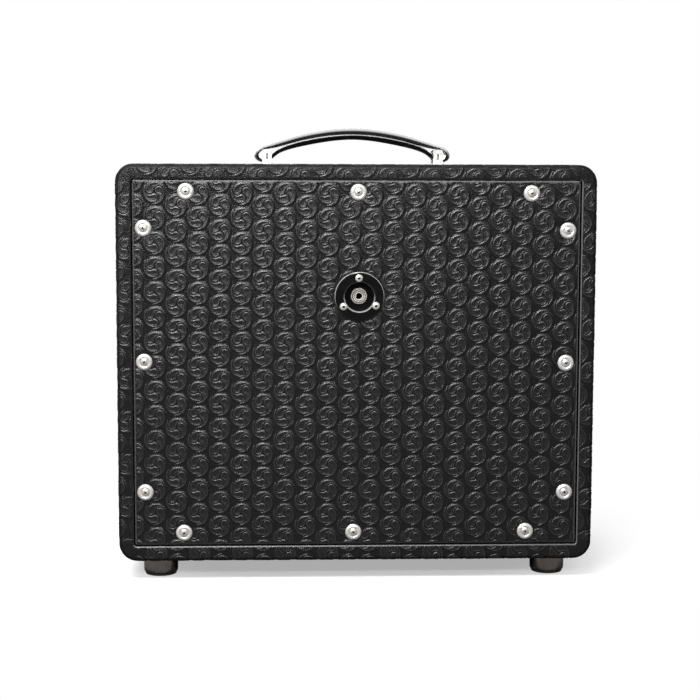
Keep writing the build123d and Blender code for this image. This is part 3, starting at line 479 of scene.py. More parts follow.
def build_panel():
    half_u, half_v = PANEL_W / 2 - PANEL_EDGE, PANEL_H / 2 - PANEL_EDGE
    verts, tris = field(-half_u, half_u, PANEL_Z - half_v, PANEL_Z + half_v, PANEL_ORIGIN)
    seats = [((-cup[0], cup[2]), CUP_SEAT) for cup in CUPS]
    seats.append(((-JACK[0], JACK[1]), DISH_SEAT))
    centre = verts[tris][:, :, :2].mean(1)
    cut = np.zeros(len(tris), bool)
    for at, seat in seats:
        cut |= np.hypot(*(centre - at).T) < seat["hole"]
    verts, tris = tidy(verts, tris[~cut])
    x, y = verts[:, 0], verts[:, 1]
    edge = np.minimum(half_u - np.abs(x), half_v - np.abs(y - PANEL_Z))
    mask = smoothstep(-0.4, 1.6, edge)
    height = np.zeros(len(verts))
    for at, seat in seats:
        reach = np.hypot(x - at[0], y - at[1])
        mask = mask * smoothstep(seat["flat"], seat["full"], reach)
        beyond = np.clip(reach - seat["rim"], 0, None)
        height -= seat["dip"] * np.exp(-beyond ** 2 / seat["spread"])
    relief = verts[:, 2] * mask
    height += RELIEF * relief * relief_strength(x, y) + sag(x, y) * smoothstep(0.0, 3.0, edge)
    points = np.stack([-x, PANEL_FACE + height, y], 1)

    # rounded edge and side wall from the outer border
    on = np.nonzero(edge < 1e-3)[0]
    ids, angles = panel_border(x, y - PANEL_Z, on, half_u, half_v)
    base = points[ids]
    out = np.array([[-math.cos(a), 0.0, math.sin(a)] for a in angles])
    # painted highlight on the rounded edge: most on the top edge, least on the bottom edge
    side = np.where(np.abs(out[:, 2]) > 0.7, np.where(out[:, 2] > 0, 1.5, 0.1),
                    np.where(out[:, 0] > 0, 0.25, 0.3))
    # painted highlight for the vinyl's edge attribute: along the top border of the face and on the
    # edge rings
    painted_highlight_and_dullness = [np.zeros(len(points))]
    painted_highlight_and_dullness[0][on] = np.where(y[on] > PANEL_Z + half_v - 1e-3, 0.4, 0.05)
    rings, faces, count = [points], [tris], len(points)
    for reach, depth, bright in PANEL_RINGS:
        rings.append(base + out * reach + (0, depth, 0))
        painted_highlight_and_dullness.append(bright * side)
        new = np.arange(len(base)) + count
        count += len(base)
        ids2, new2 = np.roll(ids, -1), np.roll(new, -1)
        faces += [np.stack([ids, new2, ids2], 1), np.stack([ids, new, new2], 1)]
        ids = new
    ob = new_mesh("panel_covering", np.concatenate(rings), proper(np.concatenate(faces)))
    attribute(ob, "relief", np.concatenate([relief, np.zeros(count - len(relief))]))
    attribute(ob, "edge", np.concatenate(painted_highlight_and_dullness))
    return ob


# ---------------------------------------------------------------- covering round the cabinet
# The skin is laid out flat: s runs round the body from the middle of the bottom, clockwise seen
# from behind; t runs from the rear lip over the rims to the front lip.
CORNER_ARC = CORNER_R * math.pi / 2
SIDE_U, SIDE_V = BODY_W / 2 - CORNER_R, BODY_H / 2 - CORNER_R
S_BREAK = np.cumsum([0, SIDE_U, CORNER_ARC, 2 * SIDE_V, CORNER_ARC, 2 * SIDE_U, CORNER_ARC,
                     2 * SIDE_V, CORNER_ARC, SIDE_U])
PERIMETER = S_BREAK[-1]
S_TOP = (S_BREAK[4] + S_BREAK[5]) / 2
CORNERS = [(S_BREAK[k], S_BREAK[k + 1]) for k in (1, 3, 5, 7)]
CORNER_MIDS = [(a + b) / 2 for a, b in CORNERS]
RIM_ARC = RIM_R * math.pi / 2
LIP_ARC = LIP_R * math.pi / 2
FLAT = WALL - LIP_R - RIM_R
T_BREAK = np.cumsum([0, LIP_ARC, FLAT, RIM_ARC, BODY_D - 2 * RIM_R, RIM_ARC, FLAT,
                     LIP_ARC]) - LIP_ARC
RIMS = ((T_BREAK[2], T_BREAK[3]), (T_BREAK[4], T_BREAK[5]))
REAR_MARGIN, FRONT_MARGIN = 16.2, 16.6
# straight stretches by number: start (u, v), direction (u, v), angle of the outward normal
STRAIGHTS = {0: (0, -SIDE_V - CORNER_R, -1, 0, 270), 2: (-SIDE_U - CORNER_R, -SIDE_V, 0, 1, 180),
             4: (-SIDE_U, SIDE_V + CORNER_R, 1, 0, 90), 6: (SIDE_U + CORNER_R, SIDE_V, 0, -1, 0),
             8: (SIDE_U, -SIDE_V - CORNER_R, -1, 0, -90)}
# corners by number: centre (u, v), angle at which they start
BENDS = {1: (-SIDE_U, -SIDE_V, 270), 3: (-SIDE_U, SIDE_V, 180),
         5: (SIDE_U, SIDE_V, 90), 7: (SIDE_U, -SIDE_V, 0)}


def contour(s):
    """Outer outline of the body: point and outward normal in (u, v)."""
    s = np.clip(s, 0, PERIMETER)
    stretch = np.clip(np.searchsorted(S_BREAK, s, side="right") - 1, 0, 8)
    along = s - S_BREAK[stretch]
    u, v, angle = np.zeros((3, len(s)))
    for k, (u0, v0, du, dv, degrees) in STRAIGHTS.items():
        on = stretch == k
        u[on] = u0 + du * along[on]
        v[on] = v0 + dv * along[on]
        angle[on] = math.radians(degrees)
    for k, (u0, v0, degrees) in BENDS.items():
        on = stretch == k
        angle[on] = math.radians(degrees) - along[on] / CORNER_R
        u[on] = u0 + CORNER_R * np.cos(angle[on])
        v[on] = v0 + CORNER_R * np.sin(angle[on])
    return u, v + MID_Z, np.cos(angle), np.sin(angle)


def profile(t):
    """Depth y, inset from the outline, and the normal along y and along the outline's normal.

    The front half mirrors the rear half.
    """
    span = T_BREAK[0] + T_BREAK[-1]
    front = t > span / 2
    t = np.where(front, span - t, t)
    mirror = np.where(front, -1, 1)
    lip = (t - T_BREAK[0]) / LIP_R
    rim = (t - T_BREAK[2]) / RIM_R
    # in turn: turned-in margin, lip, flat rim, rounded rim; otherwise the side of the body
    cases = [t < T_BREAK[k] for k in range(4)]
    y = np.select(cases, [REAR - LIP_R + (t - T_BREAK[0]), REAR - LIP_R + LIP_R * np.sin(lip),
                          REAR, REAR - RIM_R + RIM_R * np.cos(rim)],
                  REAR - RIM_R - (t - T_BREAK[3]))
    inset = np.select(cases, [WALL, WALL - LIP_R + LIP_R * np.cos(lip),
                              WALL - LIP_R - (t - T_BREAK[1]), RIM_R - RIM_R * np.sin(rim)], 0.0)
    normal_y = np.select(cases, [0.0, np.sin(lip), 1.0, np.cos(rim)], 0.0)
    normal_out = np.select(cases, [-1.0, -np.cos(lip), 0.0, np.sin(rim)], 1.0)
    return y * mirror, inset, normal_y * mirror, normal_out


def wrap(s, t, height):
    """Folds the flat skin round the body."""
    u, v, normal_u, normal_v = contour(s)
    y, inset, normal_y, normal_out = profile(t)
    out = -inset + normal_out * height
    return np.stack([-(u + normal_u * out), y + normal_y * height, v + normal_v * out], 1)


def covering_field():
    """The flat skin, cut where it has to bend or where two pieces meet."""
    verts, tris = field(0, PERIMETER, T_BREAK[0], T_BREAK[-1], np.array([S_TOP - 13.3, 0.4]))
    for corner in CORNERS:
        for s in np.linspace(*corner, 10):
            verts, tris = split(verts, tris, (1, 0), s)
    for s in CORNER_MIDS:
        verts, tris = split(verts, tris, (1, 0), s)
    cuts = [T_BREAK[1], T_BREAK[6]]
    cuts += list(T_BREAK[0] + np.array([0.34, 0.67]) * LIP_ARC)
    cuts += list(T_BREAK[6] + np.array([0.33, 0.66]) * LIP_ARC)
    for rim in RIMS:
        cuts += list(np.linspace(*rim, 5))
    for t in cuts:
        verts, tris = split(verts, tris, (0, 1), t)
    return tidy(verts, tris)


def covering_relief(s, t, pressed, rim_in):
    """The relief fades at the lips, on the rims of the corners and at the joint below."""
    mask = smoothstep(-0.2, 1.5, rim_in)
    corner = np.zeros(len(s))
    for a, b in CORNERS:
        inside = smoothstep(a - 3.0, a + 1.0, s) * (1 - smoothstep(b - 1.0, b + 3.0, s))
        corner = np.maximum(corner, inside)
    near_rim = 1 - smoothstep(FLAT + RIM_ARC * 0.4, FLAT + RIM_ARC + 4, rim_in)
    mask = mask * (1 - 0.92 * corner * near_rim)
    return pressed * (mask * smoothstep(0, 2.5, s) * smoothstep(0, 2.5, PERIMETER - s))


def covering_painted_highlight(s, t):
    """Painted highlight on the lips, most along the bottom; below 0, dull, on the rounded rims."""
    rear, front = (np.clip(gap / LIP_ARC, 0, 1) for gap in (t - T_BREAK[0], T_BREAK[7] - t))
    painted_highlight_and_dullness = 0.3 * (np.sin(math.pi * rear) + np.sin(math.pi * front))
    bottom = 1 - (smoothstep(S_BREAK[1] + CORNER_ARC / 2, S_BREAK[2], s)
                  * (1 - smoothstep(S_BREAK[5], S_BREAK[6] - CORNER_ARC / 2, s)))
    painted_highlight_and_dullness *= 0.12 + 0.88 * bottom
    for a, b in RIMS:
        painted_highlight_and_dullness -= smoothstep(a - 0.6, a + 1.2, t) * (1 - smoothstep(b - 1.2, b + 2.5, t))
    return painted_highlight_and_dullness


def build_covering():
    verts, tris = covering_field()
    s, t = verts[:, 0], verts[:, 1]
    rim_in = np.minimum(t - T_BREAK[1], T_BREAK[6] - t)
    relief = covering_relief(s, t, verts[:, 2], rim_in)
    height = (RELIEF * 0.92 * relief * relief_strength(s, t)
              + sag(s, t) * smoothstep(0, 6, rim_in) - 0.03)
    points, faces, around = [wrap(s, t, height)], [tris], [s]
    edges = border(tris)
    count = len(verts)
    for lip, depth in ((T_BREAK[0], -REAR_MARGIN), (T_BREAK[-1], FRONT_MARGIN)):
        run = edges[(np.abs(t[edges] - lip) < 1e-4).all(1)]
        ids = np.unique(run)
        points.append(wrap(s[ids], np.full(len(ids), lip + depth), np.zeros(len(ids))))
        around.append(s[ids])
        a, b = run.T
        a2, b2 = (np.searchsorted(ids, end) + count for end in (a, b))
        faces += [np.stack([a, b2, b], 1), np.stack([a, a2, b2], 1)]
        count += len(ids)
    plain = np.zeros(count - len(verts))
    relief = np.concatenate([relief, plain])
    # painted highlight on the lips, carried in the edge attribute
    painted_highlight_and_dullness = np.concatenate([covering_painted_highlight(s, t), plain])
    points, tris = np.concatenate(points), np.concatenate(faces)
    normals = vertex_normals(points, tris)
    # four pieces, named as seen from behind, meeting in the middle of the corners
    middle = np.concatenate(around)[tris].mean(1)
    piece = np.searchsorted(CORNER_MIDS, middle, side="right") % 4
    pieces = []
    for name, number in (("left", 1), ("top", 2), ("right", 3), ("bottom", 0)):
        used, inverse = np.unique(tris[piece == number], return_inverse=True)
        ob = new_mesh("covering_" + name, points[used], inverse.reshape(-1, 3))
        ob.data.normals_split_custom_set_from_vertices(normals[used].astype(np.float32))
        attribute(ob, "relief", relief[used])
        attribute(ob, "edge", painted_highlight_and_dullness[used])
        pieces.append(ob)
    return pieces


# ---------------------------------------------------------------- solids
def solid(name, parts):
    """One object from several closed pieces (vertices, faces), all facing outwards."""
    verts, faces, count = [], [], 0
    for part_verts, part_faces in parts:
        verts.append(np.asarray(part_verts, float))
        faces += [tuple(int(i) + count for i in face) for face in part_faces]
        count += len(part_verts)
    ob = new_mesh(name, np.concatenate(verts), faces)
    mesh = bmesh.new()
    mesh.from_mesh(ob.data)
    bmesh.ops.remove_doubles(mesh, verts=mesh.verts, dist=1e-7)
    bmesh.ops.recalc_face_normals(mesh, faces=mesh.faces)
    mesh.to_mesh(ob.data)
    mesh.free()
    shade_smooth(ob.data)
    return ob


def harden(ob, degrees):
    """Marks edges sharp where the surface turns by more than the angle."""
    mesh = bmesh.new()
    mesh.from_mesh(ob.data)
    for edge in mesh.edges:
        if len(edge.link_faces) == 2 and edge.calc_face_angle(0) > math.radians(degrees):
            edge.smooth = False
    mesh.to_mesh(ob.data)
    mesh.free()
    return ob


def ring_faces(rings, size, closed=False):
    """Faces of a run of equal vertex rings, capped at both ends unless it closes on itself."""
    faces = []
    for i in range(rings if closed else rings - 1):
        a, b = i * size, (i + 1) % rings * size
        for j in range(size):
            k = (j + 1) % size
            faces.append((a + j, a + k, b + k, b + j))
    if not closed:
        faces.append(tuple(range(size))[::-1])
        faces.append(tuple((rings - 1) * size + j for j in range(size)))
    return faces


def face_rear(verts):
    """Turns a piece standing along +Z to point along +Y."""
    verts = np.array(verts)
    return np.stack([-verts[:, 0], verts[:, 2], verts[:, 1]], 1)


def lathe(outline, count, centre, axis="Y"):
    """Solid of revolution about +Y or +Z. Outline: (radius, height); radius 0 closes it."""
    verts, faces, rings = [], [], []
    for radius, height in outline:
        ring = [(x, y, height) for x, y in circle(radius, count)] if radius else [(0, 0, height)]
        rings.append(range(len(verts), len(verts) + len(ring)))
        verts += ring
    for p, q in zip(rings[:-1], rings[1:]):
        for i in range(count):
            j = (i + 1) % count
            if len(p) == 1:
                faces.append((p[0], q[i], q[j]))
            elif len(q) == 1:
                faces.append((p[i], q[0], p[j]))
            else:
                faces.append((p[i], q[i], q[j], p[j]))
    verts = face_rear(verts) if axis == "Y" else np.array(verts)
    return verts + np.asarray(centre), faces


def recess_head(crown, side, half_width, length, depth, taper, turn, count, centre):
    """Screw head facing +Y with a cross recess in its crown.

    crown, side: (radius, height), from the middle outwards and then down the side.
    """
    def cross(scale):
        w, l = half_width * scale, length * scale
        arm = np.array([(l, -w), (l, w), (w * 1.25, w * 1.25)])
        return np.concatenate([rotate(arm, 90 * k + turn) for k in range(4)])

    plan = Plan()
    mouth = cross(1)
    plan.loop(mouth, np.interp(np.hypot(*mouth.T), *zip(*crown)))
    floor = crown[0][1] - depth
    plan.loop(cross(1 - taper), floor)
    plan.point((0, 0), floor - 0.3)
    for radius, height in crown:
        if radius > length + 0.12:
            outer = plan.loop(circle(radius, count), height)
    verts, faces, sources = plan.fill(1e-6)
    widest = crown[-1][0]
    faces = [tuple(face) for face in faces
             if np.hypot(*np.mean([verts[i][:2] for i in face], axis=0)) < widest]
    place_of = {given: i for i, group in enumerate(sources) for given in group}
    ring = [place_of[i] for i in outer]
    for radius, height in side:
        new = range(len(verts), len(verts) + count)
        verts += [(x, y, height) for x, y in circle(radius, count)]
        for i in range(count):
            j = (i + 1) % count
            faces.append((ring[i], new[i], new[j], ring[j]))
        ring = new
    faces.append(tuple(ring[::-1]))
    return face_rear(verts) + np.asarray(centre), faces


def mark_recess(ob, centres, floor, reach):
    """Attribute deep: 1 at the bottom of a screw's recess, below the floor depth y."""
    x, y, z = coordinates(ob.data).T
    deep = np.zeros(len(x))
    for centre in centres:
        inside = np.hypot(x - centre[0], z - centre[2]) < reach
        deep = np.maximum(deep, inside * (1 - smoothstep(floor - 0.6, floor, y)))
    attribute(ob, "deep", deep)
    return ob


# ---------------------------------------------------------------- screws and cup washers
# Tables here are (radius, height above the face they sit on).
# Pressed washer: thin rolled skirt, rounded shoulder, conical seat, and back underneath.
CUP_OUTLINE = [
    (7.55, 0.0), (8.2, 0.02), (8.32, 0.22), (8.22, 0.5), (7.95, 0.95), (7.5, 1.42),
    (6.95, 1.82), (6.3, 2.06), (5.65, 2.14), (5.05, 2.06), (4.7, 1.86), (4.45, 1.5),
    (3.5, 0.55), (2.6, -0.25), (2.6, -0.6), (3.3, -0.2), (4.6, 1.0), (5.4, 1.6),
    (6.4, 1.5), (7.2, 0.95), (7.55, 0.0)]
PANEL_CROWN = [(0.0, 2.86), (1.0, 2.82), (2.35, 2.62), (3.1, 2.36), (3.8, 1.96), (4.18, 1.6)]
PANEL_SHANK = [(4.3, 1.42), (4.2, 1.22), (2.5, -0.2)]
PANEL_TURNS = [17, 62, 34, 71, 8, 49, 26, 80, 55, 12, 40, 66]
DISH_CROWN = [(0.0, 2.35), (0.8, 2.3), (1.9, 2.02), (2.8, 1.55), (3.45, 0.98), (3.8, 0.45)]
DISH_SHANK = [(3.9, 0.12), (3.9, -0.3)]
DISH_TURNS = [20, 65, 40]


def build_heads(name, centres, face, turns, **head):
    heads = [recess_head(turn=turns[i % len(turns)], centre=(at[0], face, at[2]), **head)
             for i, at in enumerate(centres)]
    return harden(solid(name, heads), 38)


def build_cups():
    return solid("cup_washers", [lathe(CUP_OUTLINE, 56, (at[0], PANEL_FACE, at[2]))
                                 for at in CUPS])


def build_panel_screws():
    ob = build_heads("panel_screw_heads", CUPS, PANEL_FACE, PANEL_TURNS,
                     crown=PANEL_CROWN, side=PANEL_SHANK, half_width=0.42, length=1.95,
                     depth=1.5, taper=0.3, count=28)
    return mark_recess(ob, CUPS, PANEL_FACE + 2.2, reach=2.1)


def build_dish_screws():
    ob = build_heads("jack_dish_screw_heads", DISH_SCREWS, DISH_FACE, DISH_TURNS,
                     crown=DISH_CROWN, side=DISH_SHANK, half_width=0.66, length=1.55,
                     depth=2.2, taper=0.12, count=30)
    return mark_recess(ob, DISH_SCREWS, DISH_FACE + 1.7, reach=1.9)


# ---------------------------------------------------------------- handle
# Half outlines of the two straps seen along Y: (x, height above the cabinet), from the middle.
GRIP_OUTER = [
    (0, 39.8), (17, 39.1), (34, 37.0), (55, 32.8), (72, 27.9), (84, 24.2), (91, 21.9),
    (97.5, 19.7), (102.3, 15.6), (104.4, 10.2), (102.8, 5.2), (98.2, 2.5), (92.5, 1.5),
    (87.2, 1.55)]
GRIP_INNER = [
    (0, 31.6), (17, 30.85), (34, 28.85), (55, 24.7), (72, 20.0), (82.0, 17.3), (90.0, 16.0),
    (95.2, 14.6), (98.2, 12.6), (99.3, 10.2), (98.4, 7.4), (95.6, 5.0), (91.5, 3.9),
    (87.2, 3.8)]
LOWER_OUTER = [
    (0, 31.4), (17, 30.65), (34, 28.6), (55, 24.4), (66, 21.2), (74, 18.3), (81, 13.9),
    (87.4, 8.6)]
LOWER_INNER = [
    (0, 26.1), (17, 25.1), (34, 22.7), (55, 18.6), (66, 15.8), (72, 13.9), (78, 11.2),
    (83.5, 7.0), (87.0, 3.6)]
GRIP_HALF_W, LOWER_HALF_W = 13.0, 12.3
PAD_EDGE, PAD_POWER = 0.16, 2.05         # level of the grip's edge, roundness of its back
SEAM_ACROSS, SEAM_LIFT = 0.985, 0.02     # where the stitching runs on the grip's cut
WELT_Y, WELT_R, WELT_END, WELT_DROP = 12.45, 0.62, 80, 0.1
STITCH, STITCH_GAP, THREAD_R = 3.0, 1.3, 0.33
STITCH_LIFT = np.array([-0.35, 0.12, 0.3, 0.3, 0.12, -0.35])    # in thread thicknesses


def run_length(points):
    """Distance along a line at each of its points."""
    return np.concatenate([[0], np.cumsum(np.linalg.norm(np.diff(points, axis=0), axis=1))])


def resample(at, length, points):
    return np.stack([np.interp(at, length, column) for column in points.T], 1)


def spline(points, count):
    """Smooth resampling of a half outline, flat at its first point, by arc length."""
    pts = np.array(points, float)
    pts = np.concatenate([(pts[1] * [-1, 1])[None], pts, (2 * pts[-1] - pts[-2])[None]])
    curve = []
    t = np.linspace(0, 1, 24, endpoint=False)[:, None]
    for i in range(1, len(pts) - 2):
        p0, p1, p2, p3 = pts[i - 1:i + 3]
        d01, d12, d23 = (max(np.linalg.norm(b - a), 1e-6) ** 0.5
                         for a, b in ((p0, p1), (p1, p2), (p2, p3)))
        m1 = ((p2 - p1) / d12 - (p2 - p0) / (d01 + d12) + (p1 - p0) / d01) * d12
        m2 = ((p3 - p2) / d23 - (p3 - p1) / (d12 + d23) + (p2 - p1) / d12) * d12
        curve.append((2 * t ** 3 - 3 * t ** 2 + 1) * p1 + (t ** 3 - 2 * t ** 2 + t) * m1
                     + (-2 * t ** 3 + 3 * t ** 2) * p2 + (t ** 3 - t ** 2) * m2)
    curve = np.concatenate(curve + [pts[-2][None]])
    length = run_length(curve)
    return resample(np.linspace(0, length[-1], count), length, curve)


def strap(name, outer, inner, half_width, count, section):
    """Closed strap between two mirrored half outlines.

    section: (across -1..1, through 0..1) round the cut.
    """
    halves = spline(outer, count), spline(inner, count)
    above, below = (np.concatenate([(half * [-1, 1])[:0:-1], half]) for half in halves)
    verts = []
    for a, b in zip(above, below):
        for across, through in section:
            x, z = b + (a - b) * through
            verts.append((x, across * half_width, TOP + z))
    ob = solid(name, [(verts, ring_faces(len(above), len(section)))])
    bevel(ob, "end", width=0.7, segments=2, angle=60)
    return ob, above, below


def crowned(count, crown, belly, edge):
    """Cut of a padded strap: crowned above, nearly flat below, rounded edges."""
    back = [(w, 1 - crown * abs(w) ** 2.4 - edge * max(0, abs(w) - 0.86) / 0.14 * 0.5)
            for w in np.linspace(-1, 1, count)]
    return back + [(w, belly * abs(w) ** 4) for w in np.linspace(0.985, -0.985, count - 4)]


def padded(count, edge, power):
    """Cut of a stuffed strap: a full round back over a flatter belly."""
    def bulge(a, power):
        return max(0.0, 1 - abs(math.cos(a)) ** power) ** (1 / power)

    back = [(-math.cos(a), edge + (1 - edge) * bulge(a, power))
            for a in np.linspace(0, math.pi, count)]
    return back + [(math.cos(a), edge * (1 - bulge(a, 3.2)))
                   for a in np.linspace(0, math.pi, count - 4)[1:-1]]


def tube(path, radius, count):
    path = np.asarray(path, float)
    ahead = np.gradient(path, axis=0)
    ahead /= np.linalg.norm(ahead, axis=1)[:, None]
    up = np.array([0.13, 0.9, 0.41])     # any direction not along the path
    x = np.cross(ahead[0], up / np.linalg.norm(up))
    verts = []
    for at, forward in zip(path, ahead):
        x = x - forward * (x @ forward)
        x /= np.linalg.norm(x)
        y = np.cross(forward, x)
        verts += [at + c * x + s * y for c, s in circle(radius, count)]
    return np.array(verts), ring_faces(len(path), count)


def stitches(line, normals):
    """Short thread stitches along a line, dipping at both ends."""
    length = run_length(line)
    parts, at = [], STITCH_GAP
    while at + STITCH < length[-1]:
        places = np.linspace(at, at + STITCH, len(STITCH_LIFT))
        lift = STITCH_LIFT * THREAD_R * 2
        path = (resample(places, length, line)
                + resample(places, length, normals) * lift[:, None])
        parts.append(tube(path, THREAD_R, 6))
        at += STITCH + STITCH_GAP
    return parts


def build_handle():
    grip, above, below = strap("handle_grip_leather", GRIP_OUTER, GRIP_INNER, GRIP_HALF_W, 72,
                               padded(25, edge=PAD_EDGE, power=PAD_POWER))
    lower, over, under = strap("handle_lower_leather", LOWER_OUTER, LOWER_INNER, LOWER_HALF_W,
                               60, crowned(13, crown=0.14, belly=0.22, edge=0.2))
    middle = over * 0.88 + under * 0.12
    x, z = middle[np.abs(middle[:, 0]) < WELT_END].T
    welts = [tube(np.stack([x, np.full(len(x), side * WELT_Y), TOP + z - WELT_DROP], 1),
                  WELT_R, 8) for side in (-1, 1)]
    welt = solid("handle_welt", welts)
    ahead = np.gradient(above, axis=0)
    ahead /= np.linalg.norm(ahead, axis=1)[:, None]
    level = (PAD_EDGE + (1 - PAD_EDGE) * (1 - SEAM_ACROSS ** PAD_POWER) ** (1 / PAD_POWER)
             + SEAM_LIFT)
    x, z = (below + (above - below) * level).T
    parts = []
    for side in (-1, 1):
        line = np.stack([x, np.full(len(x), side * SEAM_ACROSS * GRIP_HALF_W), TOP + z], 1)
        normals = np.stack([-ahead[:, 1], np.full(len(x), 0.25 * side), ahead[:, 0]], 1)
        parts += stitches(line, normals)
    return grip, lower, welt, solid("handle_stitching", parts)


# ---------------------------------------------------------------- front: cloth and cord
WEAVE_PITCH, WEAVE_STEPS, WEAVE_H = 4.9, 3, 0.42
CLOTH_EDGE_R, CLOTH_CORNER_R = 3.0, 3.6
CORD_R, CORD_BEND_R, CORD_STEP, CORD_LAY, CORD_SIDES = 1.55, 5.2, 1.15, 7.5, 18


def build_grille():
    size, _, low, high = box("grille_cloth")
    half_w, half_h = size[0] / 2, size[2] / 2
    columns, rows = (int(round(2 * half / WEAVE_PITCH)) * WEAVE_STEPS
                     for half in (half_w, half_h))
    x, z = np.meshgrid(np.linspace(-half_w, half_w, columns + 1),
                       np.linspace(-half_h, half_h, rows + 1), indexing="ij")
    i, j = np.meshgrid(np.arange(columns + 1), np.arange(rows + 1), indexing="ij")
    wave_x, wave_z = np.sin(i * math.pi / WEAVE_STEPS), np.sin(j * math.pi / WEAVE_STEPS)
    # basket weave: warp on top where the product is positive, weft where it is negative
    over = wave_x * wave_z
    lead = 0.5 * np.sign(over) * np.minimum(1, np.abs(over) * 1.6)
    warp = np.abs(wave_x) * (0.5 + lead)
    weft = np.abs(wave_z) * (0.5 - lead)
    edge = np.minimum(half_w - np.abs(x), half_h - np.abs(z))
    inward = CLOTH_EDGE_R - np.clip(edge, 0, CLOTH_EDGE_R)
    drop = CLOTH_EDGE_R - np.sqrt(np.clip(CLOTH_EDGE_R ** 2 - inward ** 2, 0, None))
    y = (low[1] + 0.35 + drop
         - np.maximum(warp, weft) * WEAVE_H * smoothstep(0, 2.0, edge))
    # pull the four corners in to a radius
    centre_x, centre_z = half_w - CLOTH_CORNER_R, half_h - CLOTH_CORNER_R
    reach = np.hypot(np.clip(np.abs(x) - centre_x, 0, None), np.clip(np.abs(z) - centre_z, 0, None))
    outside = reach > CLOTH_CORNER_R
    pull = np.where(outside, CLOTH_CORNER_R / np.maximum(reach, 1e-6), 1)
    x, z = (np.where(outside, np.sign(a) * (c + (np.abs(a) - c) * pull), a)
            for a, c in ((x, centre_x), (z, centre_z)))
    points = np.stack([x, y, z + MID_Z], -1).reshape(-1, 3)
    ids = np.arange(len(points)).reshape(x.shape)
    quads = np.stack([ids[:-1, :-1], ids[1:, :-1], ids[1:, 1:], ids[:-1, 1:]], -1).reshape(-1, 4)
    rim = np.concatenate([ids[:-1, 0], ids[-1, :-1], ids[:0:-1, -1], ids[0, :0:-1]])
    back = points[rim].copy()
    back[:, 1] = high[1]
    new = np.arange(len(rim)) + len(points)
    wall = np.stack([np.roll(rim, -1), rim, new, np.roll(new, -1)], 1)
    ob = new_mesh("grille_fabric", np.concatenate([points, back]), np.concatenate([quads, wall]))
    attribute(ob, "weave", np.concatenate([(warp - weft).ravel(), np.zeros(len(rim))]))
    return ob


def build_cord():
    """Twisted cord of three lobes round the grille."""
    size, centre, _, _ = box("grille_piping")
    bend_x, bend_z = (size[k] / 2 - CORD_R - CORD_BEND_R for k in (0, 2))
    path = []
    for side_x, side_z, start in ((1, -1, -90), (1, 1, 0), (-1, 1, 90), (-1, -1, 180)):
        for a in np.radians(np.linspace(start, start + 90, 8)):
            path.append((side_x * bend_x + CORD_BEND_R * math.cos(a),
                         side_z * bend_z + CORD_BEND_R * math.sin(a)))
    path = np.array(path + [path[0]])
    length = run_length(path)
    count = int(length[-1] / CORD_STEP)
    at = np.linspace(0, length[-1], count, endpoint=False)
    line = resample(at, length, path)
    ahead = np.roll(line, -1, 0) - np.roll(line, 1, 0)
    ahead /= np.linalg.norm(ahead, axis=1)[:, None]
    lobes = round(length[-1] / CORD_LAY)
    twist = (2 * math.pi * lobes * at / length[-1] / 3)[:, None]
    angle = 2 * math.pi * np.arange(CORD_SIDES)[None] / CORD_SIDES
    radius = CORD_R * (0.86 + 0.14 * np.abs(np.cos(1.5 * (angle - twist))) ** 0.8)
    out = radius * np.cos(angle)
    verts = np.stack([line[:, :1] + ahead[:, 1:] * out, centre[1] + radius * np.sin(angle),
                      MID_Z + line[:, 1:] - ahead[:, :1] * out], -1)
    return solid("grille_cord", [(verts.reshape(-1, 3),
                                  ring_faces(count, CORD_SIDES, closed=True))])


# ---------------------------------------------------------------- lap seams and feet
# cut of a lap seam: sideways from the seam line, height above the rim
SEAM_CUT = ((-0.42, -0.08), (-0.3, 0.16), (0.05, 0.2), (0.6, -0.08))
SEAM_STATIONS = 9
FOOT_X, FOOT_Y = 200.0, 95.0
# (radius, height above the floor)
FOOT_CUP = [
    (0, 19.98), (16.9, 19.98), (17.42, 19.6), (17.5, 19.0), (17.5, 12.0), (17.46, 6.4),
    (17.36, 4.4), (17.05, 3.2), (16.5, 2.62), (15.8, 2.5), (15.1, 2.7), (14.85, 3.4),
    (14.8, 9.0), (0, 9.0)]
FOOT_PAD = [
    (14.6, 8.6), (14.6, 3.0), (15.4, 2.46), (15.92, 2.0), (16.0, 1.4), (15.86, 0.7),
    (15.4, 0.22), (14.7, 0.0), (12.6, 0.0), (12.2, 0.32), (11.7, 0.32), (11.3, 0.0),
    (9.4, 0.0), (9.0, 0.32), (8.5, 0.32), (8.1, 0.0), (6.6, 0.0), (6.0, 0.4), (6.0, 8.6),
    (14.6, 8.6)]


def build_seams():
    """Low wedges on the rims at the four corners, front and rear, from the opening outwards."""
    start, end = BODY_H / 2 - WALL + LIP_R, BODY_H / 2 - RIM_R * 0.62
    parts = []
    for side_y, side_x, side_z in product((1, -1), (-1, 1), (-1, 1)):
        verts = []
        for i in range(SEAM_STATIONS):
            along = i / (SEAM_STATIONS - 1)
            height = start + (end - start) * along
            inset = BODY_H / 2 - height
            drop = 0
            if inset <= RIM_R:
                drop = math.sqrt(max(0, RIM_R ** 2 - (RIM_R - inset) ** 2)) - RIM_R
            wobble = 0.12 * math.sin(along * 9 + side_x + side_z)
            x = side_x * (BODY_W / 2 - WALL + wobble)
            verts += [(x + across * side_x, side_y * (REAR + drop + lift),
                       MID_Z + side_z * height) for across, lift in SEAM_CUT]
        parts.append((verts, ring_faces(SEAM_STATIONS, len(SEAM_CUT))))
    return solid("covering_seams", parts)


def build_feet(name, outline, count):
    places = product((-FOOT_X, FOOT_X), (-FOOT_Y, FOOT_Y))
    return harden(solid(name, [lathe(outline, count, (x, y, 0), "Z") for x, y in places]), 40)


# ---------------------------------------------------------------- node trees
MATERIALS = {}


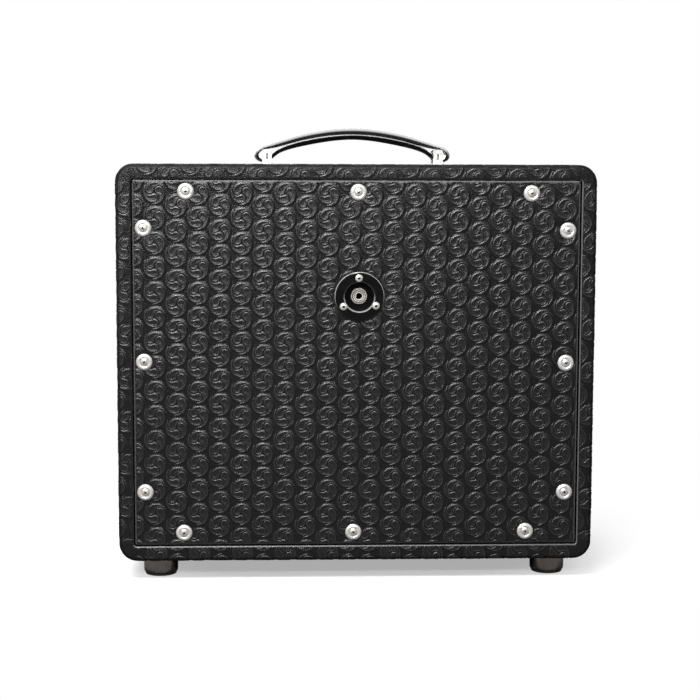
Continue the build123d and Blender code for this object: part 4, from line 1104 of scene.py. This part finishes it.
class Nodes:
    """Builds the node tree of a material or world. Inputs take values or output sockets."""

    def __init__(self, owner):
        owner.use_nodes = True
        self.tree = owner.node_tree
        self.tree.nodes.clear()

    def feed(self, socket, value):
        if isinstance(value, bpy.types.NodeSocket):
            self.tree.links.new(value, socket)
        else:
            socket.default_value = value

    def node(self, kind, inputs=None, **settings):
        node = self.tree.nodes.new(kind)
        for key, value in settings.items():
            setattr(node, key, value)
        for key, value in (inputs or {}).items():
            self.feed(node.inputs[key], value)
        return node

    def math(self, operation, a, b=0.0):
        return self.node("ShaderNodeMath", {0: a, 1: b}, operation=operation).outputs[0]

    def remap(self, value, span, to=(0, 1), kind="LINEAR"):
        inputs = dict(enumerate((value, *span, *to)))
        return self.node("ShaderNodeMapRange", inputs, interpolation_type=kind).outputs[0]

    def separate(self, vector):
        return self.node("ShaderNodeSeparateXYZ", {0: vector}).outputs

    def mix_shaders(self, factor, first, second):
        return self.node("ShaderNodeMixShader", {0: factor, 1: first, 2: second}).outputs[0]

    def camera_ray(self):
        return self.node("ShaderNodeLightPath").outputs["Is Camera Ray"]


class Material(Nodes):
    """A principled material; textures run in the object's own coordinates, in metres."""

    def __init__(self, name, color=(0.5, 0.5, 0.5), rough=0.5, metallic=0.0):
        MATERIALS[name] = bpy.data.materials.new(name)
        super().__init__(MATERIALS[name])
        self.output = self.node("ShaderNodeOutputMaterial")
        self.shader = self.node("ShaderNodeBsdfPrincipled")
        self.feed(self.output.inputs[0], self.shader.outputs[0])
        self.coords = self.node("ShaderNodeTexCoord").outputs["Object"]
        self.set("Base Color", (*color, 1))
        self.set("Roughness", rough)
        self.set("Metallic", metallic)
        self.normal = None

    def set(self, key, value):
        self.feed(self.shader.inputs[key], value)

    def scaled(self, scale):
        return self.node("ShaderNodeMapping", {"Scale": scale, "Vector": self.coords}).outputs[0]

    def noise(self, scale, detail=3, rough=0.55, vector=None, distort=0.0):
        inputs = {"Scale": scale, "Detail": detail, "Roughness": rough, "Distortion": distort,
                  "Vector": vector or self.coords}
        return self.node("ShaderNodeTexNoise", inputs).outputs["Fac"]

    def patches(self, span, to=(0, 1), **noise):
        """Noise with its span of values stretched to new limits."""
        return self.remap(self.noise(**noise), span, to)

    def cells(self, scale, vector=None):
        """Distance to the borders of irregular cells."""
        inputs = {"Scale": scale, "Randomness": 1.0, "Vector": vector or self.coords}
        return self.node("ShaderNodeTexVoronoi", inputs,
                         feature="DISTANCE_TO_EDGE").outputs["Distance"]

    def stripes(self, axis, scale, distort, detail_scale):
        inputs = {"Scale": scale, "Distortion": distort, "Detail Scale": detail_scale,
                  "Vector": self.coords}
        return self.node("ShaderNodeTexWave", inputs, bands_direction=axis).outputs["Fac"]

    def attribute(self, name):
        return self.node("ShaderNodeAttribute", attribute_name=name).outputs["Fac"]

    def mix(self, factor, first, second):
        first, second = ((*c, 1) if isinstance(c, tuple) else c for c in (first, second))
        return self.node("ShaderNodeMix", {0: factor, 6: first, 7: second},
                         data_type="RGBA").outputs[2]

    def distance(self, x, z):
        """Distance from the Y axis, given offsets x and z."""
        squares = self.math("ADD", self.math("MULTIPLY", x, x), self.math("MULTIPLY", z, z))
        return self.math("SQRT", squares)

    def bump(self, height, strength, distance):
        inputs = {"Strength": strength, "Distance": distance, "Height": height}
        if self.normal is not None:
            inputs["Normal"] = self.normal
        self.normal = self.node("ShaderNodeBump", inputs).outputs[0]
        self.set("Normal", self.normal)


def tint(color, factor):
    return tuple(min(1, x * factor) for x in color)


# ---------------------------------------------------------------- materials
def vinyl(name, pressed):
    """Black vinyl: smooth between the commas, grainy on them; painted sheen on the commas, painted
    highlights on edges and lips.
    """
    mat = Material(name)
    if pressed:
        relief = mat.attribute("relief")
    else:
        relief = mat.patches(scale=60, span=(0.4, 0.6), to=(0.0, 0.6))
    edge = mat.attribute("edge")
    # painted highlight: where the edge attribute is above 0, the base colour turns pale grey
    stretched = mat.remap(edge, span=(0.0, 1.5))
    dull = mat.remap(edge, span=(0.0, -1.0))
    fine = mat.noise(scale=700, rough=0.6)
    black, painted_sheen_grey = (0.00252,) * 3, (0.01224, 0.01188, 0.01188)
    haze, dust, painted_highlight = (0.0072,) * 3, (0.05, 0.048, 0.046), (0.46, 0.445, 0.44)
    # painted sheen: the raised commas are coloured lighter than the ground between them (on plain
    # vinyl, in random patches)
    color = mat.mix(mat.math("MULTIPLY", relief, relief), black, painted_sheen_grey)
    hazy = mat.patches(scale=9.0, detail=4, rough=0.6, span=(0.35, 0.7), to=(0.0, 0.3))
    color = mat.mix(hazy, color, haze)
    dusty = mat.patches(scale=240, detail=5, rough=0.7, span=(0.62, 0.8), to=(0.0, 0.12))
    color = mat.mix(dusty, color, dust)
    mat.set("Base Color", mat.mix(stretched, color, painted_highlight))
    rough = mat.math("ADD", mat.remap(relief, span=(0, 1), to=(0.26, 0.31)),
                     mat.remap(fine, span=(0.3, 0.7), to=(-0.03, 0.05)))
    mat.set("Roughness", mat.math("ADD", rough, mat.math("MULTIPLY", dull, 0.3)))
    matt = mat.math("SUBTRACT", 1.0, mat.math("MULTIPLY", dull, 0.75))
    gloss = mat.remap(relief, span=(0, 1), to=(0.4, 0.55))
    mat.set("Specular IOR Level", mat.math("MULTIPLY", gloss, matt))
    folds = mat.noise(scale=400, detail=4, rough=0.65, distort=1.0)
    cells = mat.remap(mat.cells(scale=480), span=(0.0, 0.18), to=(0.0, 0.4))
    grain = mat.math("MULTIPLY", mat.math("ADD", folds, cells),
                     mat.remap(relief, span=(0, 1), to=(0.6, 0.85)))
    mat.bump(grain, strength=0.8, distance=0.00024)
    mat.bump(fine, strength=0.3, distance=0.00003)


# Painted shade in narrow slots in the bracket cheeks, in metres: middle |x| and z, half width, half
# height, and the |y| within which the metal counts as inside the slot.
SLOT_X, SLOT_Z, SLOT_HALF_W, SLOT_HALF_H, SLOT_DEPTH_Y = 0.0905, 0.4281, 0.00085, 0.0034, 0.01596
# Painted shade in round seams about the jack's axis, in metres: radius, half width.
JACK_SEAMS = ((0.0064, 0.0004), (0.00478, 0.00034))


def recess_shade(mat):
    return mat.remap(mat.attribute("deep"), span=(0.0, 1.0), to=(0.0, 0.97))


def slot_shade(mat):
    x, y, z = mat.separate(mat.coords)
    from_x = mat.math("ABSOLUTE", mat.math("SUBTRACT", mat.math("ABSOLUTE", x), SLOT_X))
    from_z = mat.math("ABSOLUTE", mat.math("SUBTRACT", z, SLOT_Z))
    inside = mat.math("MULTIPLY", mat.math("LESS_THAN", from_x, SLOT_HALF_W),
                      mat.math("LESS_THAN", from_z, SLOT_HALF_H))
    return mat.math("MULTIPLY", inside,
                    mat.math("LESS_THAN", mat.math("ABSOLUTE", y), SLOT_DEPTH_Y))


def seam_shade(mat):
    deep = recess_shade(mat)
    x, _, z = mat.separate(mat.coords)
    radius = mat.distance(mat.math("SUBTRACT", x, JACK[0] * MM),
                          mat.math("SUBTRACT", z, JACK[1] * MM))
    for middle, half in JACK_SEAMS:
        away = mat.math("ABSOLUTE", mat.math("SUBTRACT", radius, middle))
        line = mat.remap(away, span=(half * 0.4, half), to=(0.88, 0.0))
        deep = mat.math("MAXIMUM", deep, line)
    return deep


def metal(name, color, rough, spread, tarnish=None, bump=0.05, metallic=1.0,
          shade=recess_shade):
    mat = Material(name, color, rough, metallic)
    mottle = mat.patches(scale=260, detail=4, rough=0.6, span=(0.35, 0.7))
    surface = mat.mix(mottle, tint(color, 1 - spread), tint(color, 1 + spread * 0.5))
    if tarnish:
        stain = mat.patches(scale=95, detail=5, rough=0.65, span=(0.52, 0.75), to=(0.0, 0.55))
        surface = mat.mix(stain, surface, tarnish)
    deep = shade(mat)
    # painted shade: recesses, slots and seams are mixed towards near-black and made less glossy
    painted_shade_color = (0.01, 0.009, 0.008)
    mat.set("Base Color", mat.mix(deep, surface, painted_shade_color))
    mat.set("Specular IOR Level", mat.remap(deep, span=(0.0, 1.0), to=(0.5, 0.1)))
    mat.set("Roughness", mat.patches(scale=480, rough=0.6, span=(0.3, 0.75),
                                     to=(rough * 0.75, rough * 1.6)))
    mat.bump(mat.noise(scale=700, detail=2, rough=0.5), strength=bump, distance=0.00005)


def plastic(name, color, rough, spread=0.2, grain=500, depth=0.00006, strength=0.2):
    mat = Material(name, color, rough)
    mottle = mat.patches(scale=grain * 0.12, detail=4, rough=0.6, span=(0.35, 0.7))
    mat.set("Base Color", mat.mix(mottle, tint(color, 1 - spread), tint(color, 1 + spread)))
    mat.set("Roughness", mat.patches(scale=grain * 0.5, span=(0.3, 0.7),
                                     to=(rough * 0.82, rough * 1.25)))
    mat.bump(mat.noise(scale=grain, rough=0.6), strength=strength, distance=depth)


def dish_black(name):
    """Moulded black dish: polished, with a painted highlight on the top of its rim and the bottom
    of its lip.
    """
    mat = Material(name, (0.003, 0.003, 0.003), 0.14)
    x, _, z = mat.separate(mat.coords)
    off_x = mat.math("ADD", x, -JACK[0] * MM)
    off_z = mat.math("ADD", z, -JACK[1] * MM)
    radius = mat.distance(off_x, off_z)
    rim_r, lip_r = DISH_R * MM, DISH_LIP * MM
    # painted highlight: pale grey on the upper part of the outer rim and the lower part of the
    # inner lip
    rim = mat.remap(radius, span=(rim_r - 0.0009, rim_r - 0.0004))
    lip = mat.math("MULTIPLY", mat.remap(radius, span=(lip_r - 0.0006, lip_r - 0.0001)),
                   mat.remap(radius, span=(lip_r + 0.0005, lip_r + 0.001), to=(1.0, 0.0)))
    rim = mat.math("MULTIPLY", rim, mat.remap(off_z, span=(-0.012, 0.002), to=(0.05, 1.0)))
    lip = mat.math("MULTIPLY", lip, mat.remap(off_z, span=(0.004, -0.006), to=(0.05, 1.0)))
    patchiness = mat.patches(scale=420, detail=4, rough=0.6, span=(0.3, 0.7), to=(0.7, 1.0))
    black = mat.mix(mat.patches(scale=90, detail=4, span=(0.35, 0.7)), (0.0022,) * 3, (0.004,) * 3)
    painted_highlight_grey = (0.27, 0.262, 0.255)
    painted_highlight = mat.math("MULTIPLY", mat.math("MAXIMUM", rim, lip), patchiness)
    mat.set("Base Color", mat.mix(painted_highlight, black, painted_highlight_grey))
    mat.set("Roughness", mat.patches(scale=300, span=(0.3, 0.7), to=(0.1, 0.2)))
    mat.set("Specular IOR Level", 0.35)
    mat.bump(mat.noise(scale=500, rough=0.6), strength=0.06, distance=0.00003)


def wood(name, light, dark):
    """Wood with its grain along X."""
    mat = Material(name, light, 0.6)
    stretched = mat.scaled((0.06, 1, 1))
    grain = mat.noise(scale=130, detail=6, rough=0.62, vector=stretched, distort=0.8)
    pores = mat.noise(scale=620, rough=0.7, vector=stretched)
    color = mat.mix(mat.remap(grain, span=(0.32, 0.68)), light, dark)
    color = mat.mix(mat.remap(pores, span=(0.6, 0.72), to=(0, 0.5)), color, tint(dark, 0.5))
    mat.set("Base Color", color)
    mat.set("Roughness", mat.remap(grain, span=(0.3, 0.7), to=(0.5, 0.72)))
    mat.bump(mat.math("ADD", grain, pores), strength=0.25, distance=0.0001)


def fibre(name, color, rough, fine, coarse, strength, depth, spread, sheen=0.0):
    mat = Material(name, color, rough)
    grain = mat.noise(scale=fine, detail=6, rough=0.75)
    clouds = mat.noise(scale=coarse, detail=4, rough=0.6)
    surface = mat.mix(mat.remap(grain, span=(0.3, 0.7)),
                      tint(color, 1 - spread), tint(color, 1 + spread))
    surface = mat.mix(mat.remap(clouds, span=(0.45, 0.75), to=(0, 0.4)), surface, tint(color, 0.6))
    mat.set("Base Color", surface)
    mat.set("Roughness", mat.remap(grain, span=(0.2, 0.8),
                                   to=(rough * 0.85, min(1, rough * 1.1))))
    if sheen:
        mat.set("Sheen Weight", sheen)
        mat.set("Sheen Roughness", 0.4)
    mat.bump(grain, strength=strength, distance=depth)


def skimming_glare(mat, amount):
    """1 where an upward face is seen at a low angle from behind the cabinet."""
    facing = mat.node("ShaderNodeLayerWeight").outputs["Facing"]
    geometry = mat.node("ShaderNodeNewGeometry").outputs
    normal_z = mat.separate(geometry["Normal"])[2]
    skim = mat.math("POWER", mat.remap(facing, span=(0.03, 0.3)), 1.15)
    to_eye_y = mat.separate(geometry["Incoming"])[1]
    skim = mat.math("MULTIPLY", skim, mat.remap(to_eye_y, span=(0.86, 0.975)))
    return mat.math("MULTIPLY", skim, mat.remap(normal_z, span=(0.25, 0.65), to=(0, amount)))


def leather(name, color, rough, coat, specular=0.5, glare=0.0):
    mat = Material(name, color, rough)
    cells = mat.cells(scale=520, vector=mat.scaled((1, 1, 1.3)))
    fine = mat.noise(scale=1500, rough=0.6)
    patchiness = mat.noise(scale=48, detail=4, rough=0.6)
    surface = mat.mix(mat.remap(patchiness, span=(0.4, 0.75), to=(0, 0.6)),
                      tint(color, 0.8), tint(color, 2.0))
    crease = (0.004, 0.004, 0.004)
    # painted shade: the leather darkens in the creases between its grain cells
    surface = mat.mix(mat.remap(cells, span=(0.0, 0.08), to=(0.5, 0.0)), surface, crease)
    if glare:
        surface = mat.mix(skimming_glare(mat, glare), surface, (0.96, 0.96, 0.96))
    mat.set("Base Color", surface)
    mat.set("Roughness", mat.math(
        "ADD", mat.remap(patchiness, span=(0.35, 0.7), to=(rough * 0.9, rough * 1.35)),
        mat.remap(cells, span=(0.0, 0.1), to=(0.12, 0.0))))
    mat.set("Coat Weight", coat)
    mat.set("Coat Roughness", 0.14)
    mat.set("Specular IOR Level", specular)
    mat.bump(mat.remap(cells, span=(0.0, 0.12)), strength=0.28, distance=0.00009)
    mat.bump(fine, strength=0.15, distance=0.00004)


def cloth(name):
    """Dark warp and silver weft, chosen by the weave attribute."""
    mat = Material(name, (0.03, 0.03, 0.03), 0.8)
    weave = mat.attribute("weave")
    warp_thread, weft_thread = (mat.stripes(axis, scale=100 * math.pi, distort=0.6,
                                            detail_scale=80) for axis in "XZ")
    is_warp = mat.remap(weave, span=(-0.1, 0.1))
    thread = mat.mix(is_warp, weft_thread, warp_thread)
    fleck = mat.noise(scale=900, detail=5, rough=0.7)
    dark, silver = (0.016, 0.016, 0.017), (0.2, 0.195, 0.185)
    grey, gap = (0.05, 0.05, 0.05), (0.008, 0.008, 0.008)
    color = mat.mix(is_warp, silver, dark)
    color = mat.mix(mat.remap(fleck, span=(0.4, 0.68), to=(0, 0.6)), color, grey)
    # painted shade: the base colour darkens between the threads
    color = mat.mix(mat.remap(thread, span=(0.0, 0.5), to=(0.65, 0.0)), color, gap)
    mat.set("Base Color", color)
    mat.set("Roughness", mat.remap(fleck, span=(0.3, 0.7), to=(0.6, 0.9)))
    mat.set("Sheen Weight", 0.25)
    mat.bump(thread, strength=0.6, distance=0.0002)
    mat.bump(fleck, strength=0.3, distance=0.0001)


def studio_floor(name):
    """Pale floor that runs out into white; other surfaces see it as dark grey."""
    mat = Material(name, (0.86, 0.86, 0.855), 0.7)
    mat.set("Base Color", mat.mix(mat.noise(scale=3.0), (0.85, 0.85, 0.845), (0.88, 0.88, 0.875)))
    away = mat.node("ShaderNodeVectorMath", {0: mat.scaled((1, 1.5, 1))}, operation="LENGTH")
    glow = mat.node("ShaderNodeEmission", {0: (1, 1, 1, 1)})
    dark = mat.node("ShaderNodeBsdfDiffuse", {0: (0.12, 0.12, 0.12, 1)})
    white_out = mat.remap(away.outputs["Value"], span=(0.2, 0.5), to=(0.4, 1.0))
    seen = mat.mix_shaders(white_out, mat.shader.outputs[0], glow.outputs[0])
    mat.feed(mat.output.inputs[0], mat.mix_shaders(mat.camera_ray(), dark.outputs[0], seen))


vinyl("embossed_vinyl", pressed=True)
vinyl("vinyl_plain", pressed=False)
leather("handle_leather", (0.008, 0.0078, 0.0076), rough=0.26, coat=0.8, glare=1.0)
# painted shade: the strap under the grip is a darker, duller copy of the grip leather
leather("handle_underside", (0.0045, 0.0044, 0.0044), rough=0.42, coat=0.0, specular=0.2)
# painted highlight: the welt is pale grey so it shows as a bright line between the straps
leather("handle_welt", (0.22, 0.215, 0.21), rough=0.25, coat=0.5)
metal("bracket_chrome", (0.95, 0.95, 0.93), rough=0.19, spread=0.05, metallic=0.62,
      shade=slot_shade)
metal("washer_nickel", (0.83, 0.815, 0.79), rough=0.27, spread=0.06,
      tarnish=(0.70, 0.675, 0.63), metallic=0.72)
metal("screw_zinc", (0.62, 0.60, 0.585), rough=0.33, spread=0.1,
      tarnish=(0.46, 0.44, 0.42), metallic=0.75)
metal("jack_nickel", (0.98, 0.91, 0.84), rough=0.24, spread=0.05,
      tarnish=(0.84, 0.75, 0.66), metallic=0.55, shade=seam_shade)
metal("foot_shell", (0.33, 0.29, 0.275), rough=0.2, spread=0.12, tarnish=(0.2, 0.165, 0.15))
metal("copper_winding", (0.72, 0.32, 0.16), rough=0.3, spread=0.12)
metal("tinned_brass", (0.72, 0.68, 0.58), rough=0.28, spread=0.12, tarnish=(0.55, 0.45, 0.3))
metal("plated_steel", (0.66, 0.62, 0.50), rough=0.26, spread=0.12, tarnish=(0.5, 0.42, 0.28))
metal("spring_steel", (0.45, 0.45, 0.46), rough=0.3, spread=0.12)
metal("tinsel_braid", (0.62, 0.5, 0.36), rough=0.42, spread=0.3, bump=0.6)
dish_black("dish_gloss_black")
cloth("grille_cloth")
wood("birch_ply", light=(0.60, 0.45, 0.28), dark=(0.45, 0.31, 0.17))
wood("baffle_ply", light=(0.05, 0.045, 0.04), dark=(0.025, 0.022, 0.02))
wood("batten_pine", light=(0.66, 0.49, 0.29), dark=(0.50, 0.33, 0.17))
# near-black: painted shade that darkens the gap round the rear panel, and also the black paint such
# battens often carry
wood("batten_near_black", light=(0.012, 0.011, 0.01), dark=(0.006, 0.0055, 0.005))
plastic("wire_red", (0.36, 0.02, 0.018), rough=0.42, spread=0.15)
plastic("wire_black", (0.015, 0.015, 0.015), rough=0.42)
plastic("basket_paint", (0.028, 0.028, 0.03), rough=0.38, grain=700, depth=0.00012, strength=0.35)
plastic("jack_insulator", (0.12, 0.06, 0.025), rough=0.5)
# name, colour, roughness, fine and coarse noise scale, bump strength and depth in metres,
# spread of the colour, sheen where there is any
FIBRES = (
    ("foot_rubber", (0.018, 0.018, 0.018), 0.75, 900, 120, 0.3, 0.0001, 0.25),
    ("handle_thread", (0.005, 0.0049, 0.0048), 0.8, 2500, 300, 0.7, 0.0001, 0.3),
    ("grille_cord", (0.16, 0.15, 0.135), 0.62, 1400, 120, 0.7, 0.0002, 0.25, 0.3),
    ("hook_and_loop", (0.02, 0.02, 0.021), 0.95, 1800, 200, 0.9, 0.0006, 0.4, 0.4),
    ("gasket_foam", (0.03, 0.03, 0.032), 0.95, 1100, 150, 0.9, 0.0006, 0.4),
    ("cork_gasket", (0.34, 0.2, 0.1), 0.85, 520, 160, 0.8, 0.0004, 0.45),
    ("fibre_board", (0.28, 0.17, 0.09), 0.7, 700, 90, 0.4, 0.0002, 0.25),
    ("cone_paper", (0.045, 0.042, 0.039), 0.85, 420, 70, 0.8, 0.0004, 0.35),
    ("dust_cap_felt", (0.03, 0.03, 0.031), 0.95, 900, 150, 0.9, 0.0005, 0.35, 0.4),
    ("spider_cloth", (0.45, 0.3, 0.12), 0.8, 800, 120, 0.8, 0.0003, 0.3),
    ("wadding", (0.62, 0.62, 0.6), 0.98, 260, 40, 1.0, 0.002, 0.2, 0.4),
    ("ferrite", (0.045, 0.044, 0.043), 0.6, 700, 120, 0.5, 0.0002, 0.25),
)
for row in FIBRES:
    fibre(*row)

# material: the CAD nodes that wear it; any other node is zinc
FINISHES = {
    "birch_ply": "top_board bottom_board left_board right_board rear_panel",
    "baffle_ply": "baffle_board",
    "batten_pine": "grille_frame front_battens",
    "batten_near_black": "rear_battens",
    "hook_and_loop": "grille_hook_pads grille_loop_pads",
    "gasket_foam": "rear_gasket",
    "cork_gasket": "speaker_gasket",
    "fibre_board": "terminal_strip",
    "cone_paper": "speaker_cone cone_edge",
    "dust_cap_felt": "dust_cap",
    "spider_cloth": "spider",
    "wadding": "damping_pad",
    "wire_red": "wire_red",
    "wire_black": "wire_black",
    "basket_paint": "speaker_basket",
    "ferrite": "magnet_ring",
    "copper_winding": "voice_coil",
    "tinned_brass": "jack_lugs spade_terminals speaker_terminals",
    "plated_steel": "magnet_top_plate pole_piece tee_nuts",
    "spring_steel": "handle_steel_band",
    "tinsel_braid": "tinsel_leads",
    "jack_insulator": "jack_insulators",
    "bracket_chrome": "handle_brackets",
    "dish_gloss_black": "jack_dish",
    "jack_nickel": "jack_washer jack_nut jack_frame jack_rivet jack_tip_spring",
    "washer_nickel": "handle_screws rear_panel_cup_washers jack_dish_screws",
    "foot_shell": "foot_cups",
    "foot_rubber": "foot_pads",
    "vinyl_plain": "cabinet_covering rear_panel_covering",
    "grille_cloth": "grille_cloth",
    "grille_cord": "grille_piping",
    "handle_leather": "handle_grip",
    "handle_underside": "handle_lower_strap",
}
finish_of = {node: name for name, nodes in FINISHES.items() for node in nodes.split()}
for node, ob in frame["nodes"].items():
    ob.data.materials.clear()
    ob.data.materials.append(MATERIALS[finish_of.get(node, "screw_zinc")])


# ---------------------------------------------------------------- the pieces
def paint(ob, material):
    ob.data.materials.clear()
    ob.data.materials.append(MATERIALS[material])
    ob.data.polygons.foreach_set("material_index", np.zeros(len(ob.data.polygons), np.int32))


def place(ob, material, body, slot, *nodes):
    """Finishes a piece, fixes it to a body and lets it stand in for CAD nodes."""
    paint(ob, material)
    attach(ob, body)
    if nodes:
        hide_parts(*nodes)


for ob in build_covering():
    place(ob, "embossed_vinyl", "cabinet", "embossed_vinyl", "cabinet_covering")
place(build_seams(), "vinyl_plain", "cabinet", "embossed_vinyl")
place(build_panel(), "embossed_vinyl", "cabinet", "embossed_vinyl", "rear_panel_covering")
place(build_cups(), "washer_nickel", "cabinet", "nickel", "rear_panel_cup_washers")
place(build_panel_screws(), "screw_zinc", "cabinet", "zinc_steel", "rear_panel_screws")
place(build_dish_screws(), "washer_nickel", "cabinet", "nickel", "jack_dish_screws")
grip, lower, welt, thread = build_handle()
place(grip, "handle_leather", "handle", "handle_vinyl", "handle_grip")
place(lower, "handle_underside", "handle", "handle_vinyl", "handle_lower_strap")
place(welt, "handle_welt", "handle", "handle_vinyl")
place(thread, "handle_thread", "handle", "handle_vinyl")
place(build_grille(), "grille_cloth", "cabinet", "grille_cloth", "grille_cloth")
place(build_cord(), "grille_cord", "cabinet", "piping", "grille_piping")
place(build_feet("foot_cup_shells", FOOT_CUP, 64), "foot_shell", "cabinet", "foot_shell",
      "foot_cups")
place(build_feet("foot_rubber_pads", FOOT_PAD, 56), "foot_rubber", "cabinet", "foot_rubber",
      "foot_pads")


def soft_copy(node, name, material, weight):
    """A copy of a flexible speaker part in its own material, standing in for the CAD node; its
    weights, from the frame (0) to the moving cone (1), are worked out but not kept.
    """
    ob = bpy.data.objects.new(name, frame["nodes"][node].data.copy())
    scene.collection.objects.link(ob)
    paint(ob, material)
    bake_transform(ob)
    values = weight(*coordinates(ob.data).T)
    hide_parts(node)


def radial(inner, outer):
    """Weight 1 at the inner radius about the speaker's axis, 0 at the outer."""
    return lambda x, y, z: 1 - smoothstep(inner, outer, np.hypot(x, z - MID_Z))


soft_copy("cone_edge", "cone_edge_folds", "cone_paper", radial(134.5, 140.0))
soft_copy("spider", "spider_folds", "spider_cloth", radial(24.0, 50.0))
soft_copy("tinsel_leads", "tinsel_leads_braid", "tinsel_braid",
          lambda x, y, z: smoothstep(-37.6, -72.0, y))

for node, width in (("handle_brackets", 0.35), ("jack_dish", 0.7), ("jack_washer", 0.12),
                    ("jack_nut", 0.25), ("handle_screws", 0.2)):
    bevel(frame["nodes"][node], "edge", width=width, segments=3, angle=40)


# ---------------------------------------------------------------- floor and room
def build_floor(half=15000):
    corners = [(-half, -half, 0), (half, -half, 0), (half, half, 0), (-half, half, 0)]
    ob = new_mesh("studio_floor", corners, [(0, 1, 2, 3)], smooth=False)
    ob.location = (0, 0, -0.0002)        # just clear of the feet
    studio_floor("studio_floor")
    paint(ob, "studio_floor")


def build_world():
    """White to the camera; as light, brightest towards -Y and dim low down towards +Y."""
    scene.world = bpy.data.worlds.new("studio")
    room = Nodes(scene.world)
    output = room.node("ShaderNodeOutputWorld")
    direction = room.node("ShaderNodeTexCoord").outputs["Generated"]
    _, y, z = room.separate(direction)
    dim = room.math("MULTIPLY", room.remap(y, span=(0.5, 0.93), kind="SMOOTHSTEP"),
                    room.remap(z, span=(0.55, 0.15), kind="SMOOTHSTEP"))
    bright = room.remap(y, span=(-0.25, -0.6), to=(0.0, 0.5), kind="SMOOTHSTEP")
    level = room.math("SUBTRACT", room.math("ADD", 0.5, bright),
                      room.math("MULTIPLY", dim, 0.46))
    white = (1, 1, 1, 1)
    light = room.node("ShaderNodeBackground", {0: white, 1: level}).outputs[0]
    seen = room.node("ShaderNodeBackground", {0: white, 1: 1.0}).outputs[0]
    room.feed(output.inputs[0], room.mix_shaders(room.camera_ray(), light, seen))


build_floor()
build_world()


# ---------------------------------------------------------------- lights
def area(name, location, target, size, power):
    data = bpy.data.lights.new(name, "AREA")
    data.shape = "RECTANGLE"
    data.size, data.size_y = size
    data.energy = power
    ob = bpy.data.objects.new(name, data)
    scene.collection.objects.link(ob)
    ob.location = location
    aim = Vector(target) - Vector(location)
    ob.rotation_euler = aim.to_track_quat("-Z", "Y").to_euler()
    return ob


def receivers(name, *pieces):
    group = bpy.data.collections.new(name)
    for piece in pieces:
        group.objects.link(piece)
    return group


softbox = area("top_softbox", location=(0.5, 1.0, 1.6), target=(0, 0.12, 0.25),
               size=(1.2, 0.4), power=60)
edge_strip = area("edge_strip", location=(0.3, 1.85, 1.0), target=(0, 0.12, 0.35),
                  size=(1.0, 0.18), power=21)
area("front_fill", location=(0.35, -1.7, 1.15), target=(0, 0, 0.3), size=(2.2, 1.5), power=24)
# the straps are kept out of the two hard lights, which would bleach their gloss
flagged = receivers("flagged_off_hard_lights", grip, lower, thread)
softbox.light_linking.receiver_collection = flagged
edge_strip.light_linking.receiver_collection = flagged
for item in flagged.collection_objects:
    item.light_linking.link_state = "EXCLUDE"
# a soft glow for the grip alone, without a reflection
glow = area("grip_glow", location=(0.1, 1.2, 1.5), target=(0, 0, 0.45), size=(1.0, 0.6), power=9)
glow.visible_glossy = False
glow.light_linking.receiver_collection = receivers("lit_by_grip_glow", grip)

scene.view_settings.view_transform = "Standard"
scene.view_settings.look = "None"

# ---------------------------------------------------------------- camera
CAMERA_PLACE = (0.079, 1.8231, 0.4195)
TILT_DOWN, SWING, ROLL = 0.1088, -0.0425617, -0.001347      # radians
LEVEL_VIEW = np.array([[-1, 0, 0], [0, 0, 1], [0, 1, 0]])   # looks along -Y with Z up


def rotation(axis, angle):
    """Rotation matrix about axis 0, 1 or 2."""
    j, k = (axis + 1) % 3, (axis + 2) % 3
    matrix = np.eye(3)
    matrix[j, j] = matrix[k, k] = math.cos(angle)
    matrix[j, k] = -math.sin(angle)
    matrix[k, j] = math.sin(angle)
    return matrix


def build_camera():
    data = bpy.data.cameras.new("camera")
    ob = bpy.data.objects.new("camera", data)
    scene.collection.objects.link(ob)
    data.sensor_width = 36.0
    data.lens = 87.4285714
    data.shift_x, data.shift_y = -0.000857142857, 0.0005
    pose = np.eye(4)
    pose[:3, :3] = (LEVEL_VIEW @ rotation(0, -TILT_DOWN) @ rotation(1, SWING)
                    @ rotation(2, ROLL))
    pose[:3, 3] = CAMERA_PLACE
    ob.matrix_world = Matrix(pose.tolist())
    scene.camera = ob


build_camera()
